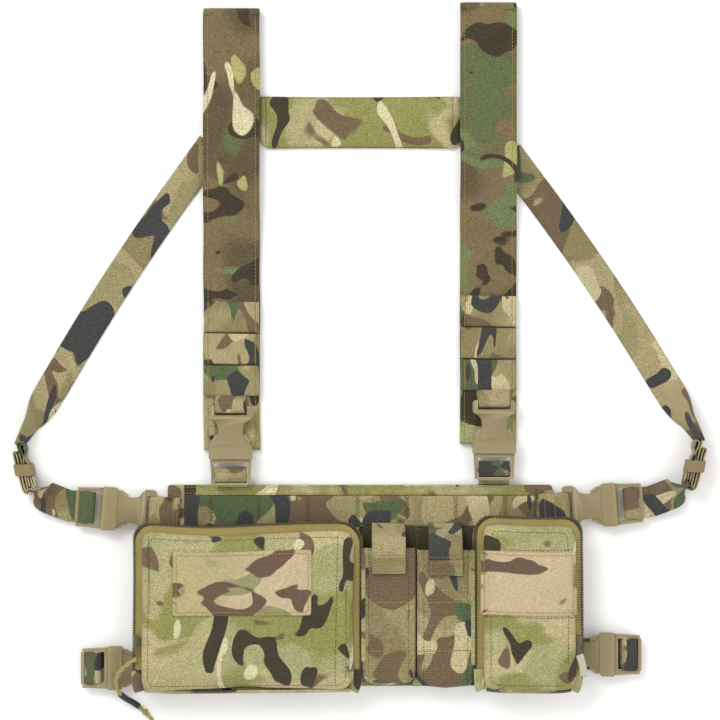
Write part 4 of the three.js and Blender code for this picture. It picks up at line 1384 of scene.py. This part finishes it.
def web_loop(piece, name, bar, toward, upper_tail, lower_tail, under=WRAP, **kinds):
    """A strip round a buckle's bar with both tails running away from it."""
    profile = upper_tail + loop_profile(bar, toward, under) + lower_tail
    points = [buckle_point(name, u, 0, z) for u, z in profile]
    return strip(piece, points, across=tuple(across_of(name)), step=1.4 * MM, **kinds)


def tab_stitching(piece, name, web, body, u0, u1):
    """A sewn box across a doubled tab."""
    lines = []
    for u in (u0, u1):
        a, b = buckle_point(name, u, -11), buckle_point(name, u, 11)
        lines.append([(a.x, a.y), (b.x, b.y)])
    sew(piece, lines, tree_of(web), body, "camo_webbing", THREAD, 2.2 * MM, 1.8 * MM, 0.34 * MM)


def build_tabs():
    """Webbing that ties each socket to the strap or the panel behind it."""
    for side, _ in SIDES:
        name = "shoulder_" + side
        web = web_loop("shoulder_tab_web_" + side, name, SOCKET_BAR, -1,
                       [(-52.8, -5.0), (-51.2, -4.6), (-49.2, -2.2), (-46.0, 2.9)],
                       [(-46.0, -2.9), (-50.0, -5.6), (-52.8, -6.4)])
        attach(web, "harness", "camo_webbing", "shoulder_tab_" + side)
    for level, side, name in side_names():
        end = 62.0
        web = web_loop("side_tab_web_" + name, name, SOCKET_BAR, -1,
                       [(-end, 1.5), (-52.0, 1.9), (-46.5, 3.2)],
                       [(-46.5, -2.4), (-51.0, -1.0), (-end, -0.6)])
        node = "side_tab_{}_{}".format(level, side)
        attach(web, "rig", "camo_webbing", node)
        tab_stitching("side_tab_stitching_" + name, name, web, "rig", -49.5, -57.5)


def build_risers():
    """Webbing from the shoulder plugs to the panel's upper edge: the loop goes with the plug."""
    for side, _ in SIDES:
        name = "shoulder_" + side
        plug = "shoulder_plug_" + side
        loop = web_loop("riser_loop_" + side, name, PLUG_BAR, 1,
                        [(18.0, -0.8), (17.6, 0.4), (17.2, 1.6)],
                        [(15.6, -2.3), (17.6, -2.4)], under=2.2)
        attach(loop, plug, "camo_webbing", "riser_" + side)
        x = BUCKLES[name][0][0]
        tail = strip("riser_tail_" + side, [
            buckle_point(name, 16.4, 0, -4.0), buckle_point(name, 18.8, 0, -4.9),
            at(x, 82.2, 5.4), at(x, 81.6, 3.0), at(x, 81.2, 1.3)],
            width=WEB - 0.6 * MM, step=1.0 * MM, across=(1, 0, 0))
        attach(tail, None, "camo_webbing", "riser_" + side)
        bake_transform(tail)


def build_back_strap():
    """One strap between the lower plugs, made as two halves that meet behind the panel."""
    for side, sign in SIDES:
        name = "lower_" + side
        flat = buckle_point(name, 0).y
        side_view = ((15.0, -5.6), (17.6, -3.6), (18.0, 0.0), (16.0, 3.0), (12.6, 4.1),
                     (8.6, 3.0), (6.2, 0.0), (6.0, -3.2), (3.0, -6.4), (-10, -7.15), (-40, -7.15))
        points = [buckle_point(name, u, 0, z) for u, z in side_view]
        points += [at(sign * 80, 1000 * flat * 0.98, 0.85), at(sign * 40, 1000 * flat, 0.85),
                   at(0, -60.5, 0.85)]
        web = strip("back_strap_" + side, points, across=tuple(across_of(name)), step=1.4 * MM)
        attach(web, None, "camo_webbing", "back_strap")
        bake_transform(web)


def dress_buckles():
    """Moulded edges for every socket and plug."""
    for node, obj in frame["nodes"].items():
        if "socket" not in node and "plug" not in node:
            continue
        weld = obj.modifiers.new("weld", "WELD")
        weld.merge_threshold = 0.01 * MM
        round_edges = obj.modifiers.new("edges", "BEVEL")
        round_edges.width = 0.55 * MM
        round_edges.segments = 2
        round_edges.limit_method = "ANGLE"
        round_edges.angle_limit = math.radians(35)
        round_edges.harden_normals = False
        paint(obj, PLASTIC)


def paint(obj, material):
    obj.data.materials.clear()
    obj.data.materials.append(material)


def moulded_bar(name, buckle, points, width, height, z):
    """A small raised rib along a line on a buckle's face."""
    path = even([buckle_point(buckle, u, v, z) for u, v in points], 0.8 * MM)
    half = width / 2
    section = [(-half, -0.4 * MM), (-half, height * 0.3), (-half * 0.6, height),
               (half * 0.6, height), (half, height * 0.3), (half, -0.4 * MM)]
    return sweep(name, path, section, PLASTIC)


def saddle(name):
    """The socket's middle: a plate with a hollow waist between the slot frame and the mouth."""
    half = [(-34.0, 17.0), (-32.4, 15.8), (-30.8, 13.0), (-28.6, 10.9), (-25.0, 10.0),
            (-21.5, 9.8), (-18.0, 10.4), (-14.6, 12.0), (-12.4, 14.8), (-11.0, 17.0)]
    outline = half + [(u, -v) for u, v in reversed(half)]
    rings = []
    for inset, z in ((0.6, -4.2), (0.0, -3.6), (0.0, 3.7), (0.25, 4.2), (0.8, 4.5)):
        rings.append([buckle_point(name, u + (inset if u < -30 else 0),
                                   v - math.copysign(inset, v), z) for u, v in outline])
    return loft("saddle", rings, PLASTIC)


def mouth_block(name):
    """The mouth's outer face, swelling smoothly from the waist to the lip."""
    rings = []
    for u, half, rise in ((-13.2, 13.0, 4.3), (-11.0, 16.4, 5.0), (-8.0, 17.1, 5.7),
                          (-4.0, 17.4, 6.0), (-1.0, 17.5, 6.0), (-0.3, 17.3, 5.7)):
        ring = []
        for v, z in ((-half, 2.0), (-half, rise - 1.4), (-half + 1.2, rise - 0.3),
                     (-half + 3, rise), (half - 3, rise), (half - 1.2, rise - 0.3),
                     (half, rise - 1.4), (half, 2.0), (half - 0.6, 3.4), (-half + 0.6, 3.4)):
            ring.append(buckle_point(name, u, v, z))
        rings.append(ring)
    return loft("mouth", rings, PLASTIC)


def build_buckle_details():
    """Each socket's waist, mouth and lip rib, and each plug's raised rails."""
    for name in BUCKLES:
        socket_body = "harness" if name.startswith("shoulder") else "rig"
        node = name if name.startswith("shoulder") else "side_" + name
        plug = (node.replace("shoulder_", "shoulder_plug_") if name.startswith("shoulder")
                else "side_plug_" + name)
        lip = moulded_bar("rib", name, [(-1.3, -16), (-1.3, 16)], 1.1 * MM, 0.6 * MM, 5.5)
        detail = join_objects("socket_ribs_" + name, [saddle(name), mouth_block(name), lip])
        attach(detail, socket_body, "buckle_plastic")
        rails = []
        for sign in (-1, 1):
            rails.append(moulded_bar("rail", name, [(1.2, sign * 15.1), (20.4, sign * 15.1)],
                                     1.3 * MM, 0.6 * MM, 2.5))
        rails.append(moulded_bar("rail", name, [(20.2, -11.5), (20.2, 11.5)], 1.2 * MM, 0.6 * MM,
                                 2.5))
        attach(join_objects("plug_rails_" + name, rails), plug, "buckle_plastic")


# ---- Side straps and their tails ----------------------------------------------------------
# the folded tail's middle, x and y in mm, and its lean in degrees
BUNDLES = {"left": (-268.5, 94, 14), "right": (268, 97, -14)}
BUNDLE_Z = 12.6        # height of the folded tail's middle line, mm
SIDE_STRAP_START = {"left": (-122, 349), "right": (122, 342)}   # on the shoulder strap, mm


def bundle_point(side, a, l, z):
    """A point of the folded strap tail: a across the bundle, l along it, z up, in mm."""
    cx, cy, lean = BUNDLES[side]
    t = math.radians(lean)
    return at(cx + a * math.cos(t) - l * math.sin(t), cy + a * math.sin(t) + l * math.cos(t), z)


def build_side_straps():
    for side, sign in SIDES:
        start = at(*SIDE_STRAP_START[side])
        end = bundle_point(side, 0, 19, 0)
        way = (end - start).normalized()
        out = way.cross(UP)
        if out.x * sign < 0:
            out = -out
        points, ways = [], []
        for k in range(15):
            t = k / 14
            twist = min(1, max(0, (t - 0.80) / 0.18))
            twist = twist * twist * (3 - 2 * twist)
            p = start.lerp(end, t) + out * 5 * MM * math.sin(math.pi * t)
            p += way * (-6 * MM) * (1 - t)
            angle = twist * math.radians(78)
            p.z = 0.95 * MM + 11.6 * MM * math.sin(angle)
            points.append(p)
            ways.append(out * math.cos(angle) + UP * math.sin(angle))
        web = strip("side_strap_web_" + side, points, across=[tuple(w) for w in ways])
        attach(web, None, "camo_webbing", "side_strap_" + side)
        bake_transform(web)


def build_tails():
    """Spare webbing folded on edge, held by an elastic keeper, and the strap on to the plug."""
    for side, sign in SIDES:
        turn = [(0.4, 21), (0.2, 8), (0.4, -10), (0.6, -16), (1.7, -18.2), (2.8, -16), (2.9, -4),
                (2.8, 9), (2.9, 13), (4.0, 15), (5.0, 12.8), (5.1, 0), (4.9, -14), (4.0, -18.5),
                (1.5, -20.2), (-0.8, -18.6)]
        tear = [(-1.6, -15), (-1.5, 0), (-1.8, 7), (-4.8, 13), (-5.4, 17), (-3.4, 19.6),
                (-1.4, 17.4), (-2.2, 11), (-3.9, 4), (-3.8, -8), (-3.9, -15), (-4.9, -17.6),
                (-5.6, -14.4), (-5.6, -4)]
        pieces = []
        for row in (turn, tear):
            path = resample([bundle_point(side, sign * a, l, BUNDLE_Z) for a, l in row],
                            1.2 * MM)
            pieces.append(sweep("tail", path, flat_section(21 * MM, 1.3 * MM, 8), WEBBING,
                                [UP] * len(path)))
        bundle = join_objects("strap_tail_web_" + side, pieces)
        attach(bundle, "rig", "camo_webbing", "strap_tail_" + side)

        # keeper: an elastic band round the bundle
        ring = []
        corners = ((-6.4, 1.0), (6.4, 1.0), (6.6, 24.2), (-6.6, 24.2))
        for i, (a, z) in enumerate(corners):
            b, w = corners[(i + 1) % 4]
            for k in range(8):
                t = k / 8
                bulge = 0.5 * math.sin(math.pi * t)
                ring.append((a + (b - a) * t + (bulge if i == 1 else -bulge if i == 3 else 0),
                             z + (w - z) * t + (bulge if i == 2 else 0)))
        lean = 0.22 * sign
        path = [bundle_point(side, a, a * lean - 1.0, z) for a, z in ring]
        path.append(path[0])
        way = (bundle_point(side, 0, 1, 0) - bundle_point(side, 0, 0, 0)).normalized()
        band_piece = sweep("tail_keeper_band_" + side, path, flat_section(9.5 * MM, 1.1 * MM, 8),
                           ELASTIC, [way] * len(path))
        attach(band_piece, "rig", "keeper_elastic", "tail_keeper_" + side)

        # connector: from the tail's lower end to the plug's bar, turning from edge-on to flat
        name = "upper_" + side
        foot = bundle_point(side, 0, -17, 12.0)
        flat_way = across_of(name)
        if flat_way.y < 0:
            flat_way = -flat_way
        middle_point = foot.lerp(buckle_point(name, 30), 0.5)
        points = [foot, foot.lerp(middle_point, 0.5), middle_point, buckle_point(name, 27),
                  buckle_point(name, 22)]
        ways = []
        for p, height, tilt in zip(points, (12.7, 12.4, 9.8, 5.6, 4.3), (86, 76, 48, 14, 0)):
            p.z = height * MM
            angle = math.radians(tilt)
            ways.append(flat_way * math.cos(angle) + UP * math.sin(angle))
        profile = [(18.5, -3.4)] + loop_profile(PLUG_BAR, 1)[::-1]
        for u, z in profile + [(17.2, 2.2), (21.5, -0.4), (27.0, -1.9)]:
            points.append(buckle_point(name, u, 0, z))
            ways.append(flat_way)
        web = strip("side_connector_web_" + side, points, across=[tuple(w) for w in ways],
                    step=1.3 * MM)
        attach(web, None, "camo_webbing", "side_connector_" + side)
        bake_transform(web)


build_tabs()
build_risers()
build_back_strap()
dress_buckles()
build_buckle_details()
build_side_straps()
build_tails()


# ---- Zip sliders and pullers --------------------------------------------------------------
def build_sliders():
    for side in ("admin", "utility"):
        x0, x1, y0, y1, z0, z1 = span(side + "_slider")
        slider = soft_box(side + "_slider_body", (x0, x1, y0, y1, z0, z1 - 1.2 * MM), METAL,
                          [1.2 * MM, 1.2 * MM, 2.2 * MM, 2.2 * MM], low_roll=0.5 * MM,
                          high_roll=0.9 * MM)
        x = (x0 + x1) / 2
        arch = ((y1 - 1.2 * MM, 1.6), (y1 - 2.0 * MM, 0.3), ((y0 + y1) / 2, 0),
                (y0 + 1.6 * MM, 0.4), (y0 + 0.8 * MM, 1.6))
        bridge = sweep(side + "_slider_bridge",
                       resample([Vector((x, y, z1 - down * MM)) for y, down in arch], 0.6 * MM),
                       flat_section(1.6 * MM, 0.8 * MM, 4), METAL)
        attach(slider, side + "_zip", "zip_metal", side + "_slider")
        attach(bridge, side + "_zip", "zip_metal")
        x0, x1, y0, y1, z0, z1 = span(side + "_puller")
        z = (z0 + z1) / 2
        outline = rounded_loop(x0 + 0.7 * MM, x1 - 0.7 * MM, y0 + 0.7 * MM, y1 - 0.7 * MM,
                               [1.2 * MM] * 4, z, arc=5, edge=5)
        ring = sweep(side + "_puller_ring", outline + outline[:1], round_section(0.72 * MM, 8),
                     METAL)
        attach(ring, side + "_puller", "zip_metal", side + "_puller")
    path = [at(174.1, -53.0, 34.3), at(175.4, -56.5, 34.0), at(176.6, -61.0, 33.4),
            at(177.3, -66.0, 32.9), at(177.2, -70.5, 32.7)]
    tab = strip("utility_pull_tab", path, TAB, 6.0 * MM, 1.4 * MM, step=1.2 * MM)
    attach(tab, "utility_puller", "pull_cord")


build_sliders()


# ---- Floor and light ----------------------------------------------------------------------
def build_studio():
    mesh = bpy.data.meshes.new("floor")
    mesh.from_pydata([(x * FLOOR_HALF, y * FLOOR_HALF, FLOOR_Z)
                      for x, y in ((-1, -1), (1, -1), (1, 1), (-1, 1))], [], [(0, 1, 2, 3)])
    floor = bpy.data.objects.new("floor", mesh)
    bpy.context.scene.collection.objects.link(floor)
    shader = Shader("floor", 0.95)
    shade = shader.mix(shader.noise(shader.object_space, 3, 2.0), srgb(250, 250, 249),
                       srgb(255, 255, 254))
    floor.data.materials.append(shader.finish(shade))
    world = bpy.data.worlds.new("studio")
    world.use_nodes = True
    world.node_tree.nodes["Background"].inputs["Color"].default_value = (1, 1, 1, 1)
    world.node_tree.nodes["Background"].inputs["Strength"].default_value = 0.85
    bpy.context.scene.world = world
    for name, place, power, size in (("key", (-0.9, 1.3, 1.9), 26, 1.1),
                                     ("fill", (1.3, -0.7, 1.8), 10, 1.6)):
        data = bpy.data.lights.new(name, "AREA")
        data.energy = power
        data.size = size
        lamp = bpy.data.objects.new(name, data)
        lamp.location = place
        aim = Vector((0, 0.15, 0)) - Vector(place)
        lamp.rotation_euler = aim.to_track_quat("-Z", "Y").to_euler()
        bpy.context.scene.collection.objects.link(lamp)
    bpy.context.scene.view_settings.view_transform = "Standard"


build_studio()
